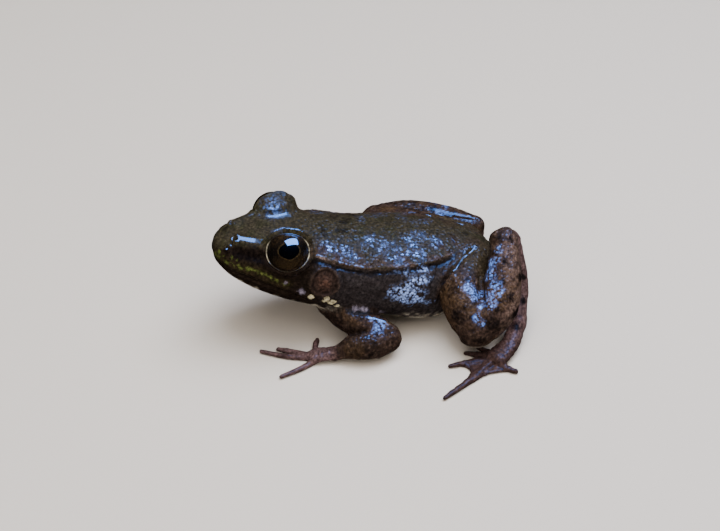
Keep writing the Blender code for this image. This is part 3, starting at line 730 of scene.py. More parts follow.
def from_eye(points, side):
    """Each point's offset from an eye, its distance, and how many degrees it is beyond the lids' opening."""
    offset, axis = points - eye_centre(side), opening_axis(side)
    reach = np.linalg.norm(offset, axis=1)
    angle = np.degrees(np.arccos(np.clip(offset @ axis / reach, -1, 1)))
    return offset, reach, angle - opening_degrees(offset, axis)


def open_lids(points):
    """Draws the skin in under each eyeball within the opening of the lids, and leaves a round edge."""
    for side in (1, -1):
        offset, reach, beyond = from_eye(points, side)
        drawn = (1 - soft_step(beyond, -1.5, 7.0)) * (1 - soft_step(reach, 3.9, 4.5))
        above = soft_step(offset[:, 2], 0.0, 2.0)
        crease = (0.05 * bell(beyond - 36, 7.0) - 0.14 * bell(beyond - 24, 5.0)) * (0.45 + 0.55 * above)
        edge = (0.15 + 0.23 * soft_step(offset[:, 1], -0.8, 1.4)) * bell(beyond - 5.5, 7.3) * above
        raised = (crease + edge) * (1 - soft_step(reach, 3.9, 4.6))
        wanted = reach + (UNDER_EYE - reach) * drawn + raised
        points = eye_centre(side) + offset * (wanted / reach)[:, None]
    return points


def relief(places, line, fade, *waves):
    """Height along a line, as waves of rise, distance from the line and width, faded at the line's ends."""
    away, share = line_distance(places, line)
    return ends_faded(share, fade) * sum(rise * bell(away - out, width) for rise, out, width in waves)


def fold_heights(points):
    """How far each point of the skin stands out for the folds, lips, ears and nostrils."""
    mouth = mouth_line()
    away, share = line_distance(points, mouth)
    level = height_on([place[1:] for place in mouth[len(mouth) // 2:]], points[:, 1])
    over = away * np.sign(points[:, 2] - level)
    lips = 0.15 * bell(over - 0.55, 0.4) + 0.10 * bell(over + 0.5, 0.35) - 0.26 * bell(away, 0.17)
    height = ends_faded(share, 0.05) * lips
    for side in (1, -1):
        height += side_folds(points * (side, 1, 1), side)
    for line, rise, width, fade in LIMB_FOLDS:
        height += relief(points, line, fade, (rise, 0.0, width))
    return height


def plane_canthus(points):
    """Planes a narrow strip along each canthus, so that it shines as one bar."""
    line = np.array(CANTHUS)
    at = lengths_along(line)
    for side in (1, -1):
        own = points * (side, 1, 1)
        away, share = line_distance(own, line)
        on_line = np.stack([np.interp(share, at / at[-1], line[:, axis]) for axis in range(3)], axis=1)
        depth = own @ CANTHUS_FACING
        beside = np.linalg.norm(np.cross(own - on_line, CANTHUS_FACING), axis=1)
        clear = soft_step(distance(own, NOSTRIL_SEEN), 0.3, 0.5)
        near = (beside < 0.3) & (away < 1.0) & (clear > 0.9) & (share < 0.95)
        level = np.polyval(np.polyfit(own[near, 1], depth[near], 1), own[:, 1])
        planed = (1 - soft_step(beside, 0.36, 0.62)) * (away < 1.2) * clear * ends_faded(share, 0.1)
        points = points + ((level - depth) * planed)[:, None] * CANTHUS_FACING * (side, 1, 1)
    return points


def ridge_offset(own):
    """Each point's distance from the back's wavering ridge, positive above it, and its place along it."""
    away, share = line_distance(own, RIDGE)
    away = np.where(own[:, 2] > height_on(RIDGE[:, 1:], own[:, 1]), away, -away)
    return away + 0.16 * noise(own, 0.8, 21) + 0.08 * noise(own, 0.35, 22), share


def ear_distance(own):
    """Each point's distance from the middle of the eardrum, seen from the side."""
    away = np.hypot(own[:, 1] - EAR_SEEN[0], own[:, 2] - EAR_SEEN[1])
    return np.where(own[:, 0] > EAR_SIDE, away, FAR)


def side_folds(own, side):
    """Heights of what both sides have, for points measured with this side as the left."""
    beyond, share = ridge_offset(own)
    crest = np.where(beyond > 0, 0.5 * bell(beyond, 0.3) + 0.5 * bell(beyond, 1.0), bell(beyond, 0.24))
    height = ends_faded(share, 0.12) * (0.30 * crest - 0.16 * bell(beyond + 0.62, 0.3))
    behind_ear = [surface_at(y, degrees) for y, degrees in EAR_FOLD]
    height += relief(own, behind_ear, 0.2, (0.12, 0.5, 0.4), (-0.22, 0.0, 0.2))
    for fold in GROIN_FOLDS:
        height += relief(own, fold, 0.2, (0.14, 0.45, 0.4), (-0.24, 0.0, 0.24))
    away, share = line_distance(own, CANTHUS)
    height += (0.44 - 0.32 * share) * bell(away, 1.12) * ends_faded(share, 0.06)
    height -= 0.42 * bell(line_distance(own, CHEEK)[0], 0.85)
    away = distance(own, NOSTRIL_SEEN)
    height += (0.26 if side > 0 else 0.08) * bell(away - 0.52, 0.22) - 0.7 * bell(away, 0.27)
    away = distance(own, SNOUT_PIT)
    height += 0.1 * bell(away - 0.42, 0.2) - 0.22 * bell(away, 0.22)
    away = ear_distance(own)
    sunk = 1 - soft_step(away, EAR_SEEN_RADIUS - 0.35, EAR_SEEN_RADIUS - 0.05)
    height += 0.15 * bell(away - EAR_SEEN_RADIUS, 0.22) - 0.16 * sunk + 0.1 * bell(away, 0.6)
    away, share = line_distance(own, HIP_CREASE)
    ahead = own[:, 1] < height_on([(z, y) for _, y, z in HIP_CREASE[:1:-1]], own[:, 2])
    height += ends_faded(share, 0.15) * (0.26 * bell(away - 0.62, 0.3) * ahead - 0.6 * bell(away, 0.34))
    return height


def add_warts(points, masks):
    """Low warts of seeded size and place, thick on the back and thinner on sides and limbs."""
    draw = np.random.default_rng(11)
    tree = kdtree.KDTree(len(points))
    for index, point in enumerate(points):
        tree.insert(point, index)
    tree.balance()
    height = np.zeros(len(points))
    likely = 0.9 * masks["back"] + 0.35 * masks["flank"] + 0.45 * masks["limb"]
    likely *= 1 - masks["belly"]
    likely[(points[:, 1] < -9.0)] *= 0.08
    likely[(points[:, 1] < -12.5)] = 0
    likely[points[:, 2] < 0.6] = 0
    centres = draw.choice(len(points), WARTS, p=likely / likely.sum())
    for centre in centres:
        size, rise = draw.uniform(*WART_SIZES), draw.uniform(*WART_RISES)
        for _, index, away in tree.find_range(points[centre], size * 2):
            height[index] = max(height[index], rise * math.exp(-((away / size) ** 2)))
    return height


def skin_masks(points, normals, field, owners):
    """Named shares from 0 to 1 that say which part of the skin each point is in."""
    place = field.place(points)
    trunk_away, limb_away, foot_away = (owners[name][place] for name in ("trunk", "limb", "foot"))
    blur = 0.5 * noise(points, 1.3, 3)
    trunk_share = soft_step(np.minimum(limb_away, foot_away) - trunk_away, -0.8, 0.8)
    foot = soft_step(np.minimum(limb_away, trunk_away) - foot_away, -0.5, 0.7)
    y, z = points[:, 1], points[:, 2]
    back = soft_step(z - height_on([*BACK_EDGE, *RIDGE[1:, 1:], *RUMP_EDGE], y) + 0.3 * blur, -0.35, 0.35)
    widest, bottom = (height_on(TRUNK_ROWS[:, [0, column]], y) for column in (2, 4))
    mottle = 0.3 * blur + 0.22 * noise(points, 0.6, 4)
    belly = 1 - soft_step((z - bottom) / (widest - bottom + 0.01) + mottle, 0.12, 0.55)
    belly *= 1 - (y < -8.0) * soft_step(z - height_on(LIP_LINE, y), -1.6, -0.6)
    under = soft_step(-normals[:, 2], 0.35, 0.85)
    masks = {
        "back": back * trunk_share,
        "flank": (1 - back) * trunk_share,
        "belly": belly * trunk_share + under * (1 - trunk_share) * 0.8,
        "limb": 1 - trunk_share,
        "foot": foot,
    }
    return {name: np.clip(mask, 0, 1) for name, mask in masks.items()}


def to_linear(colour):
    value = np.array(colour) / 255
    return np.where(value <= 0.04045, value / 12.92, ((value + 0.055) / 1.055) ** 2.4)


def spot_field(points, spots):
    """1 in the middle of each spot, a half at its edge, and falling away outside."""
    field = np.zeros(len(points))
    for x, y, z, radius in spots:
        field = np.maximum(field, 1 - distance(points, (x, y, z)) / (2 * radius))
    return field


class Paint:
    """Colours laid one over another on the points of the skin, with three grades of seeded mottling."""

    def __init__(self, points, masks, ground):
        self.points, self.own = points, to_left(points)
        self.coarse, self.medium, self.fine = (
            noise(points, size, seed) for size, seed in ((3.1, 5), (1.1, 6), (0.45, 7))
        )
        self.colour = np.zeros((len(points), 3)) + to_linear(ground)
        self.back, self.flank, self.limb, self.foot, self.belly = (
            masks[name] for name in ("back", "flank", "limb", "foot", "belly")
        )

    def tint(self, wanted, share):
        share = np.clip(share, 0, 1)[:, None]
        self.colour = self.colour * (1 - share) + to_linear(wanted) * share

    def mottle(self, wanted, part, pattern, low, high, strength):
        self.tint(wanted, part * soft_step(pattern, low, high) * strength)

    # Painted shade: darkens the skin along a crease
    def crease(self, wanted, places, line, width, fade):
        self.tint(wanted, relief(places, line, fade, (0.85, 0.0, width)))


def paint_trunk(paint):
    y, mixed = paint.points[:, 1], paint.medium + 0.4 * paint.fine
    paint.tint((39, 34, 34), paint.flank * soft_step(y, -9.0, -4.0))
    paint.mottle((48, 44, 44), paint.flank, mixed, 0.1, 0.7, 0.5 * soft_step(y, -4.0, 0.0))
    paint.tint((45, 40, 29), paint.back)
    paint.mottle((42, 40, 25), paint.back, mixed, 0.05, 0.5, 0.7)
    paint.mottle((24, 19, 14), paint.back, paint.coarse * 0.6 + paint.medium, 0.45, 0.8, 0.7)


def paint_limbs(paint):
    coarse, medium, fine, limb, foot = paint.coarse, paint.medium, paint.fine, paint.limb, paint.foot
    y, z = paint.points[:, 1], paint.points[:, 2]
    paint.tint((47, 35, 29), limb)
    away, _ = line_distance(paint.points, OUTER_SHANK)
    paint.tint((88, 70, 63), limb * (1 - soft_step(away + 0.6 * medium, 1.2, 3.2)) * 0.75)
    paint.mottle((68, 51, 33), limb, coarse + 0.3 * fine, 0.1, 0.6, 0.6)
    paint.mottle((20, 14, 12), limb, medium + 0.5 * fine, 0.25, 0.7, 0.75)
    paint.mottle((22, 16, 13), limb, fine + 0.3 * medium, 0.15, 0.5, 0.5)
    paint.mottle((96, 78, 66), limb, noise(paint.points, 0.38, 8), 0.35, 0.7, 0.35)
    # Painted shadow over the middle of the forearm
    paint.tint((26, 20, 16), bell(distance(paint.own, FOREARM_SHADE) + 0.5 * medium, 2.3) * 0.8)
    paint.tint((80, 61, 60), foot)
    hind = np.maximum(soft_step(paint.own[:, 0], 12.4, 13.4), soft_step(y, 0.0, 2.0))
    paint.tint((50, 36, 32), foot * hind * (1 - soft_step(z, 1.5, 3.2)) * 0.9)
    paint.mottle((46, 32, 30), foot, medium + 0.4 * fine, 0.2, 0.7, 0.7)


def paint_underside(paint):
    paint.tint((166, 158, 142), paint.belly)
    pattern = paint.medium + 0.5 * paint.fine + 0.5 * (1 - paint.belly)
    paint.mottle((92, 80, 68), paint.belly, pattern, 0.1, 0.7, 0.7)


def paint_head(paint):
    away, _ = line_distance(paint.own, LIP_STRIPE)
    paint.tint((42, 35, 20), (1 - soft_step(away + 0.5 * paint.medium, 0.4, 1.2)) * (1 - paint.back) * 0.6)
    # Painted shade in the hollow under the canthus
    paint.tint((9, 6, 5), bell(line_distance(paint.own, CHEEK)[0], 1.0) * 0.8)
    ear = ear_distance(paint.own)
    paint.tint((48, 36, 31), (1 - soft_step(ear, 1.7, 2.15)) * 0.9)
    paint.tint((78, 54, 44), bell(ear + 0.5 * paint.fine, 0.75) * 0.7)
    paint.tint((16, 11, 9), bell(ear - EAR_SEEN_RADIUS + 0.35, 0.22) * 0.6)
    paint.tint((66, 52, 44), bell(ear - EAR_SEEN_RADIUS, 0.18) * (0.35 + 0.3 * paint.medium))


def paint_folds(paint):
    """The arm's shaded front, the pale ridge of the back with painted shade in the groove under it, and
    painted shade in the creases.
    """
    medium, own, back = paint.medium, paint.own, paint.back
    away, _ = line_distance(paint.points, ARM_FRONT)
    paint.tint((34, 25, 21), bell(away + 0.5 * medium, 1.7) * 0.75 * paint.limb)
    beyond, share = ridge_offset(own)
    paint.mottle((60, 44, 38), back, medium + 0.4 * paint.fine, -0.5, 0.4, 0.6 * bell(beyond, 2.4))
    pale = bell(beyond - 0.02, 0.2) * ends_faded(share, 0.06) * (0.95 - 0.75 * share)
    paint.tint((172, 146, 140), pale * (0.75 + 0.25 * medium))
    # Painted shade in the groove under the ridge
    paint.tint((10, 8, 9), bell(beyond + 0.7, 0.35) * (1 - back) * 0.7)
    # Painted shade in the creases of the hip, arm, elbow and knee and in the lid's gap
    paint.crease((8, 6, 6), own, HIP_CREASE, 0.4, 0.1)
    for line, width in ((ARM_CREASE, 0.4), (ELBOW_FOLD, 0.36), (KNEE_CREASE, 0.4)):
        paint.crease((9, 7, 6), paint.points, line, width, 0.15)
    paint.crease((9, 7, 6), own, LID_GAP, 0.3, 0.15)
    root = 1 - soft_step(distance(own, ARM_ROOT) + 0.4 * medium, 1.6, 2.6)
    paint.tint((30, 28, 31), paint.limb * root)
    hip = 1 - soft_step(distance(own, HIP) + medium, 3.5, 7.0)
    paint.tint((50, 43, 31), paint.limb * hip * soft_step(paint.points[:, 2], 8.0, 9.5) * 0.9)


def skin_colours(points, masks):
    """The colour of the skin at each point, before its fine grain."""
    paint = Paint(points, masks, ground=(27, 20, 15))
    for layer in (paint_trunk, paint_limbs, paint_underside, paint_head, paint_folds):
        layer(paint)
    return paint.colour


def near_line(places, line, width):
    return bell(line_distance(places, line)[0], width)


def near_patches(points, radius_share):
    """1 within the patches of the wettest skin, with ragged edges."""
    own = to_left(points)
    found = np.zeros(len(points))
    ragged = 0.6 * noise(points, 0.9, 31) + 0.5 * noise(points, 2.0, 32)
    for x, y, z, radius in WET_PATCHES:
        away = distance(own, (x, y, z)) / (radius * radius_share)
        found = np.maximum(found, 1 - soft_step(away + ragged, 0.6, 1.3))
    return found * (1 - 0.95 * np.maximum(near_line(own, KNEE_CREASE, 0.5), near_line(own, LID_GAP, 0.3)))


def slick_edges(points, own):
    """Where the skin is smooth and wet: along a few edges, at the near nostril and round the near eye."""
    slick = np.zeros(len(points))
    for line, reach, places in (
        (CANTHUS, 0.62, points), (LID_FOOT, 0.2, own), (FAR_SHANK_EDGE, 0.9, points),
        (HIP_CREASE[:4], 0.5, own), (RIDGE[:6], 0.3, own), (ARM_EDGE, 0.35, points), (KNEE_EDGE, 0.3, points),
    ):
        away, share = line_distance(places, line)
        edge = (1 - soft_step(away, reach * 0.8, reach * 1.6)) * ends_faded(share, 0.04)
        slick = np.maximum(slick, edge * (1 - soft_step(share, 0.68, 0.76)) if line is CANTHUS else edge)
    for place, reach in ((NOSTRIL_SEEN, 0.75), (SNOUT_PIT, 0.6)):
        slick = np.maximum(slick, 1 - soft_step(distance(points, place), reach, reach + 0.25))
    offset, reach, beyond = from_eye(points, 1)
    behind = 0.2 + 0.8 * soft_step(offset[:, 1], -1.3, -0.5)
    return np.maximum(slick, (reach < 4.2) * (1 - soft_step(beyond, 10.0, 16.0)) * behind)


def wetness(points, masks):
    """How much each place shines: most in patches, and along a few smooth edges, given too as a share."""
    own = to_left(points)
    wet = 0.16 * masks["back"] + 0.22 * masks["flank"] + 0.30 * masks["limb"] * (1 - 0.7 * masks["foot"])
    wet = np.maximum(wet, near_patches(points, 1.0))
    far_edge = 1 - soft_step(line_distance(points, FAR_SHANK_EDGE)[0], 0.9, 1.6)
    hip = 1 - soft_step(line_distance(own, HIP_CREASE)[0], 0.5, 1.0)
    ridge = 1 - soft_step(line_distance(own, RIDGE)[0], 0.5, 0.8)
    broken = 0.6 * np.maximum(hip, ridge) * soft_step(noise(points, 0.5, 41), -0.4, 0.5)
    slick = slick_edges(points, own) * (1 - broken)
    return np.maximum(wet, slick * (1 - 0.35 * far_edge)), slick * (1 - 0.3 * far_edge)


def pebbles(points, masks):
    """How strongly the skin is granulated: little on the head, most on the back and a patch of the flank."""
    own = to_left(points)
    amount = 0.85 * masks["back"] + 0.4 * masks["flank"] + 0.8 * masks["limb"] * (1 - 0.6 * masks["foot"])
    head = 1 - soft_step(points[:, 1], -9.5, -6.0)
    amount = amount * (1 - head) + 0.22 * head
    amount += 0.9 * bell(distance(own, FLANK_PATCH), 2.8) * masks["flank"]
    amount += 0.5 * bell(distance(own, DOME_TOP), 1.8)
    return np.clip(amount * (1 - 0.7 * masks["belly"]), 0, 1)


def painted_glint_share(points, masks):
    """Where the skin carries painted highlights, bluish flecks in its colour: in the wet patches and on the
    dome of the upper lid.
    """
    own = to_left(points)
    back = (0.25 + 0.5 * soft_step(points[:, 0], -1.0, 1.0)) * masks["back"]
    dewy = near_patches(points, 0.9) * (back + masks["flank"] + 0.8 * masks["limb"])
    dome = bell(distance(own, DOME_PATCH) + 0.5 * noise(points, 0.8, 51), 1.05)
    return np.maximum(dewy, dome * (1 - 0.95 * near_line(own, LID_GAP, 0.3)))


def set_values(data, **layers):
    """Stores each layer of numbers or colours on the mesh's points."""
    for name, values in layers.items():
        if values.ndim == 1:
            data.attributes.new(name, "FLOAT", "POINT").data.foreach_set("value", values.astype(np.float32))
            continue
        values = np.concatenate([values, np.ones((len(values), 1))], axis=1).astype(np.float32)
        data.attributes.new(name, "FLOAT_COLOR", "POINT").data.foreach_set("color", values.reshape(-1))


def melted_skin():
    """The skin's object before its folds, and the fields that it was grown from."""
    field, owners = grow_body()
    points, quads = largest_part(*field.surface())
    corners = points[quads]
    if np.einsum("ij,ij->i", corners[:, 0], np.cross(corners[:, 1], corners[:, 2])).sum() < 0:
        quads = quads[:, ::-1]
    skin = mesh_object("frog_skin", points, quads)
    refine(skin.data)
    return skin, field, owners


def make_skin():
    skin, field, owners = melted_skin()
    points, _ = read_points(skin.data)
    write_points(skin.data, open_lids(points))
    points, normals = read_points(skin.data)
    write_points(skin.data, plane_canthus(points + normals * fold_heights(points)[:, None]))
    points, normals = read_points(skin.data)
    masks = skin_masks(points, normals, field, owners)
    points = points + normals * add_warts(points, masks)[:, None]
    points[:, 2] = np.maximum(points[:, 2], 0.0)
    write_points(skin.data, points)
    own = to_left(points)
    wet, slick = wetness(points, masks)
    lip = 1 - 0.8 * line_distance(own, LIP_STRIPE)[0]
    set_values(
        skin.data,
        coat=skin_colours(points, masks),
        wet=wet,
        pebbled=pebbles(points, masks) * (1 - slick),
        dewy=painted_glint_share(points, masks),
        side=masks["flank"],
        upper=masks["back"] * soft_step(points[:, 1], -10.0, -8.5),
        cream=spot_field(own, CREAM_SPOTS),
        lilac=spot_field(own, LILAC_SPOTS),
        dark=spot_field(own, LEG_BARS) * masks["limb"],
        lime=np.maximum(lip, 0.3 + spot_field(own, LIP_MARKS)),
    )
    skin.data.materials.append(skin_material())
    return skin


class Tree:
    """A material's node tree, built by short calls."""

    def __init__(self, name):
        self.material = bpy.data.materials.new(name)
        self.material.use_nodes = True
        self.tree = self.material.node_tree
        self.shader = self.tree.nodes["Principled BSDF"]

    def add(self, kind, out=0, settings=(), **inputs):
        node = self.tree.nodes.new(kind)
        for key, value in dict(settings).items():
            setattr(node, key, value)
        for key, value in inputs.items():
            socket = node.inputs[int(key[2:])] if key.startswith("in") else node.inputs[key]
            self.feed(socket, value)
        return node.outputs[out]

    def feed(self, socket, value):
        if isinstance(value, bpy.types.NodeSocket):
            self.tree.links.new(value, socket)
        else:
            socket.default_value = value

    def maths(self, operation, first, second):
        return self.add("ShaderNodeMath", settings={"operation": operation}, in0=first, in1=second)

    def times(self, first, *others):
        for other in others:
            first = self.maths("MULTIPLY", first, other)
        return first

    def plus(self, first, second):
        return self.maths("ADD", first, second)

    def without(self, share):
        return self.maths("SUBTRACT", 1.0, share)

    def named(self, name, out=2):
        return self.add("ShaderNodeAttribute", out=out, settings={"attribute_name": name})

    def mix(self, share, first, second, blend="MIX"):
        return self.add(
            "ShaderNodeMix", out=2, settings={"data_type": "RGBA", "blend_type": blend},
            in0=share, in6=first, in7=second,
        )

    def spread(self, value, low, high, to_low=0.0, to_high=1.0):
        return self.add("ShaderNodeMapRange", in0=value, in1=low, in2=high, in3=to_low, in4=to_high)

    def grain(self, size_mm, detail=2.0):
        return self.add(
            "ShaderNodeTexNoise", Vector=self.places(), Scale=1 / (size_mm * MM), Detail=detail, Roughness=0.6
        )

    def cells(self, size_mm, out=0):
        """Round cells: each place's distance from its cell's middle or, with out=1, the cell's own colour."""
        return self.add("ShaderNodeTexVoronoi", out=out, Vector=self.places(), Scale=1 / (size_mm * MM))

    def places(self):
        return self.add("ShaderNodeTexCoord", out=3)

    def bump(self, height, depth_mm, strength=1.0):
        return self.add("ShaderNodeBump", Strength=strength, Distance=depth_mm * MM, Height=height)

    def finish(self, **inputs):
        for name, value in inputs.items():
            self.feed(self.shader.inputs[name.replace("_", " ")], value)
        return self.material


def marked_coat(tree, ragged):
    """The skin's own colours with its markings over them, each with where its edge starts and ends."""
    colour = tree.named("coat", out=0)
    for field, marking, low, high in (
        ("dark", (22, 16, 14), 0.42, 0.8), ("lime", (76, 84, 38), 0.7, 1.05),
        ("lilac", (106, 98, 110), 0.36, 0.8), ("cream", (172, 162, 130), 0.45, 0.62),
    ):
        share = tree.spread(tree.plus(tree.named(field), ragged), low, high)
        colour = tree.mix(share, colour, colour_of(*marking))
    return colour


def skin_material():
    tree = Tree("wet_skin")
    pebbled = tree.named("pebbled")
    fine = tree.grain(0.35, detail=3.0)
    ragged = tree.spread(tree.grain(0.5, detail=3.0), 0.3, 0.7, -0.22, 0.22)
    fallen = tree.spread(tree.cells(GRANULE_MM), 0.0, 0.62)
    raised = tree.without(tree.times(fallen, fallen))
    # Fine speckle, with painted shade that darkens the gaps between the granules
    speckle_and_gap_shade = tree.times(tree.spread(fine, 0.35, 0.7, 0.5, 1.6), tree.spread(raised, 0.1, 0.7, 0.8, 1.15))
    grey = tree.add("ShaderNodeCombineXYZ", in0=speckle_and_gap_shade, in1=speckle_and_gap_shade, in2=speckle_and_gap_shade)
    skin_and_painted_light = tree.mix(1.0, marked_coat(tree, ragged), grey, "MULTIPLY")
    lit = tree.times(
        tree.spread(tree.cells(GRANULE_MM, out=1), 0.3, 0.62, 0.2),
        tree.spread(tree.grain(1.0, detail=1.0), 0.38, 0.56, 0.25),
    )
    dots = tree.times(tree.spread(raised, 0.25, 0.6), lit)
    gaps = tree.times(tree.named("upper"), 0.85, tree.without(dots))
    # Painted highlights: bluish flecks laid into the base colour where the skin is wettest
    glint_beads = tree.times(
        tree.spread(tree.plus(tree.cells(GLINT_MM), ragged), 0.72, 0.28),
        tree.spread(tree.grain(0.8, detail=2.0), 0.34, 0.54),
        tree.without(gaps),
    )
    dew = tree.mix(tree.named("side"), colour_of(106, 148, 236), colour_of(142, 168, 230))
    skin_and_painted_light = tree.mix(tree.times(glint_beads, tree.named("dewy")), skin_and_painted_light, dew)
    rough = tree.spread(pebbled, 0.0, 0.6)
    shine = tree.times(tree.plus(tree.without(rough), tree.times(rough, dots)), tree.named("wet"))
    depth = tree.plus(raised, tree.times(fine, 0.25))
    depth = tree.plus(depth, tree.times(tree.grain(1.1, detail=1.0), 1.2))
    normal = tree.bump(depth, 0.08, strength=pebbled)
    return tree.finish(
        Base_Color=skin_and_painted_light, Roughness=0.5, Normal=normal, Coat_IOR=1.6,
        Coat_Weight=shine, Coat_Roughness=0.1, Coat_Normal=normal, Specular_IOR_Level=0.03,
    )


def eye_rings(side):
    """Rings of the eyeball round its gaze, and each point's place across and up the eye in millimetres."""
    centre, gaze = eye_centre(side), unit(mirrored(PUPIL_GAZE, side))
    ahead = unit(np.array((0.0, -1.0, 0.0)) + gaze * gaze[1])
    up = np.cross(ahead, gaze) * side
    turns = np.linspace(0, 2 * math.pi, 128, endpoint=False)
    rings, across, high = [], [], []
    for angle in np.radians(np.linspace(1.0, 150.0, 110)):
        bulge = SEEN_RADIUS * (1 + CORNEA_RISE * bell(math.degrees(angle), CORNEA_DEGREES))
        sideways = math.sin(angle) * bulge
        ring = centre + gaze * math.cos(angle) * bulge + sideways * (
            np.cos(turns)[:, None] * ahead + np.sin(turns)[:, None] * up
        )
        rings.append(ring)
        across.append(sideways * np.cos(turns))
        high.append(sideways * np.sin(turns))
    ends = [centre + gaze * SEEN_RADIUS * (1 + CORNEA_RISE), centre - gaze * SEEN_RADIUS * 0.9]
    across = np.concatenate([*across, [0.0, 0.0]])
    high = np.concatenate([*high, [0.0, 0.0]])
    return rings, ends, across, high


def make_eye(side, name, coat):
    rings, ends, across, high = eye_rings(side)
    points, quads, triangles = lofted(rings, ends)
    faces = [*quads, *triangles]
    eye = mesh_object("eyeball_" + name, points, [face[::-1] for face in faces])
    work = bmesh.new()
    work.from_mesh(eye.data)
    bmesh.ops.recalc_face_normals(work, faces=work.faces)
    work.to_mesh(eye.data)
    work.free()
    eye.data.shade_smooth()
    pointed = high * np.where(high < 0, 1 - 0.12 * bell(across, 0.5), 1.0)
    oval = np.hypot(across / PUPIL_HALVES[0], pointed / PUPIL_HALVES[1])
    set_values(eye.data, pupil=oval, out=np.hypot(across, high), high=high)
    eye.data.materials.append(coat)
    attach(eye, "root")
    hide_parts("eye_" + name)


def colour_of(*values):
    return (*to_linear(values), 1.0)


def eye_material():
    tree = Tree("moist_eye")
    pupil, out, high = tree.named("pupil"), tree.named("out"), tree.named("high")
    flecks = tree.grain(0.22, detail=4.0)
    golden = tree.times(tree.spread(high, -0.3, -1.9), tree.spread(flecks, 0.42, 0.62, 0.25))
    iris = tree.mix(golden, colour_of(13, 10, 8), colour_of(50, 38, 22))
    upper = tree.times(tree.spread(high, 0.6, 1.8, 0.0, 0.6), tree.spread(flecks, 0.45, 0.6))
    iris = tree.mix(upper, iris, colour_of(62, 47, 29))
    ring = tree.times(
        tree.spread(pupil, 0.98, 1.03), tree.spread(pupil, 1.04, 1.16, 1.0, 0.0),
        tree.spread(flecks, 0.35, 0.6, 0.2), 0.4,
    )
    iris = tree.mix(ring, iris, colour_of(92, 76, 46))
    iris = tree.mix(tree.spread(out, 2.3, 2.75, 0.0, 0.85), iris, colour_of(12, 9, 8))
    seen = tree.mix(tree.spread(pupil, 0.97, 1.01), colour_of(1, 2, 4), iris)
    return tree.finish(
        Base_Color=seen, Roughness=0.4, Coat_Weight=1.0, Coat_Roughness=0.03, Coat_IOR=1.8,
        Specular_IOR_Level=0.02,
    )


def make_rim(side, name, coat):
    """The pale edge of the lids: a thin cord where they meet the eyeball."""
    centre, axis = eye_centre(side), opening_axis(side)
    first = unit(np.cross(axis, (0, 0, 1)))
    second = np.cross(first, axis)
    turns = np.linspace(0, 2 * math.pi, 120, endpoint=False)
    sides = 10
    round_it = np.linspace(0, 2 * math.pi, sides, endpoint=False)[:, None]
    rings = []
    for turn in turns:
        outward = math.cos(turn) * first + math.sin(turn) * second
        opening = math.radians(opening_degrees(outward[None], axis)[0] + 0.5)
        place = math.cos(opening) * axis + math.sin(opening) * outward
        size = RIM_RADIUS * (1 + 0.12 * math.sin(5 * turn) * math.sin(3 * turn + 1))
        middle = centre + place * (SEEN_RADIUS + 0.02)
        rings.append(middle + size * (np.cos(round_it) * outward + np.sin(round_it) * axis))
    points = np.concatenate(rings)
    faces = []
    for i, a in itertools.product(range(len(turns)), range(sides)):
        here, there, b = i * sides, (i + 1) % len(turns) * sides, (a + 1) % sides
        faces.append((here + a, here + b, there + b, there + a))
    rim = mesh_object("lid_rim_" + name, points, faces)
    along_up = (points - centre) @ up_across(axis) / SEEN_RADIUS
    ahead = side * (points - centre) @ first / SEEN_RADIUS
    corners = np.where(ahead > 0, 0.75 * soft_step(ahead, 0.72, 0.95), soft_step(-ahead, 0.55, 0.85))
    pale = (1 - soft_step(along_up, 0.35, 0.7)) * (0.06 + 0.94 * corners)
    set_values(rim.data, pale=pale)
    rim.data.materials.append(coat)
    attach(rim, "root")


def rim_material():
    tree = Tree("lid_edge")
    mottle = tree.times(tree.spread(tree.grain(0.9, detail=3.0), 0.38, 0.6, 0.1), tree.named("pale"))
    colour = tree.mix(mottle, colour_of(30, 23, 16), colour_of(186, 176, 150))
    normal = tree.bump(tree.grain(0.2), 0.03)
    return tree.finish(Base_Color=colour, Roughness=0.3, Normal=normal, Coat_Weight=0.5, Coat_Roughness=0.1)


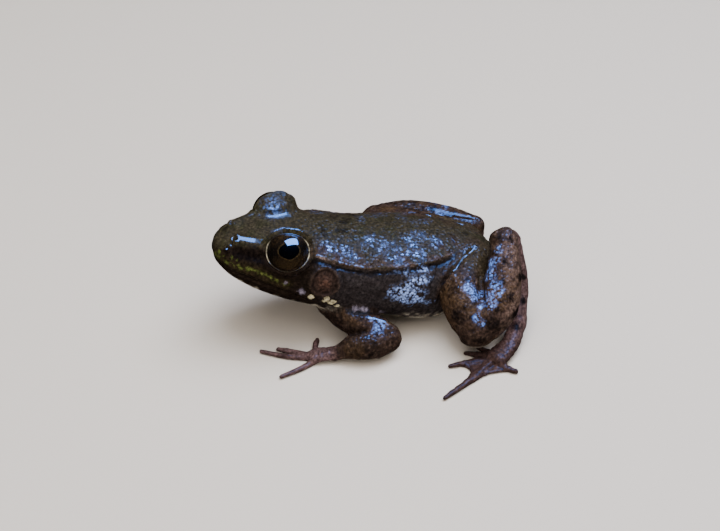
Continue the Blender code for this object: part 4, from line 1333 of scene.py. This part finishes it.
def make_floor():
    mesh = bpy.data.meshes.new("floor")
    corners = [(x * FLOOR_HALF, y * FLOOR_HALF, 0) for x, y in ((-1, -1), (1, -1), (1, 1), (-1, 1))]
    mesh.from_pydata(corners, [], [(0, 1, 2, 3)])
    floor = linked("floor", mesh)
    floor.data.materials.append(Tree("pale_floor").finish(Base_Color=FLOOR_COLOUR, Roughness=0.8))
    floor.visible_glossy = False


def make_camera():
    azimuth, elevation = math.radians(VIEW_AZIMUTH), math.radians(VIEW_ELEVATION)
    back = Vector((
        math.sin(azimuth) * math.cos(elevation),
        -math.cos(azimuth) * math.cos(elevation),
        math.sin(elevation),
    ))
    data = bpy.data.cameras.new("camera")
    data.sensor_width = SENSOR_MM
    data.lens = PIXELS_PER_MM * VIEW_DISTANCE / PICTURE_WIDTH * SENSOR_MM
    data.clip_start = 0.005
    camera = linked("camera", data)
    camera.location = Vector(to_row(VIEW_TARGET)) + back * VIEW_DISTANCE * MM
    camera.rotation_euler = back.to_track_quat("Z", "Y").to_euler()
    bpy.context.scene.camera = camera


def area_light(name, place, size, power, colour, mirrored_only):
    data = bpy.data.lights.new(name, "AREA")
    data.shape = "RECTANGLE"
    data.size, data.size_y = size
    data.energy = power
    data.color = colour
    lamp = linked(name, data)
    lamp.location = place
    lamp.rotation_euler = (Vector(place) - Vector((0, 0, 0.01))).to_track_quat("Z", "Y").to_euler()
    lamp.visible_glossy = mirrored_only
    lamp.visible_diffuse = not mirrored_only


def make_light():
    """A soft light overhead with softer ones beside it, and a cool panel that only the wet skin mirrors."""
    world = bpy.data.worlds.new("world")
    world.use_nodes = True
    air = world.node_tree.nodes["Background"]
    air.inputs["Color"].default_value = AIR_COLOUR
    air.inputs["Strength"].default_value = AIR_STRENGTH
    world.cycles_visibility.glossy = False
    bpy.context.scene.world = world
    for lamp in LAMPS:
        area_light(*lamp)


skin = make_skin()
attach(skin, "root")
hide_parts(*FLESH)
eye_coat, rim_coat = eye_material(), rim_material()
for side, name in ((1, "left"), (-1, "right")):
    make_eye(side, name, eye_coat)
    make_rim(side, name, rim_coat)
make_floor()
make_camera()
make_light()
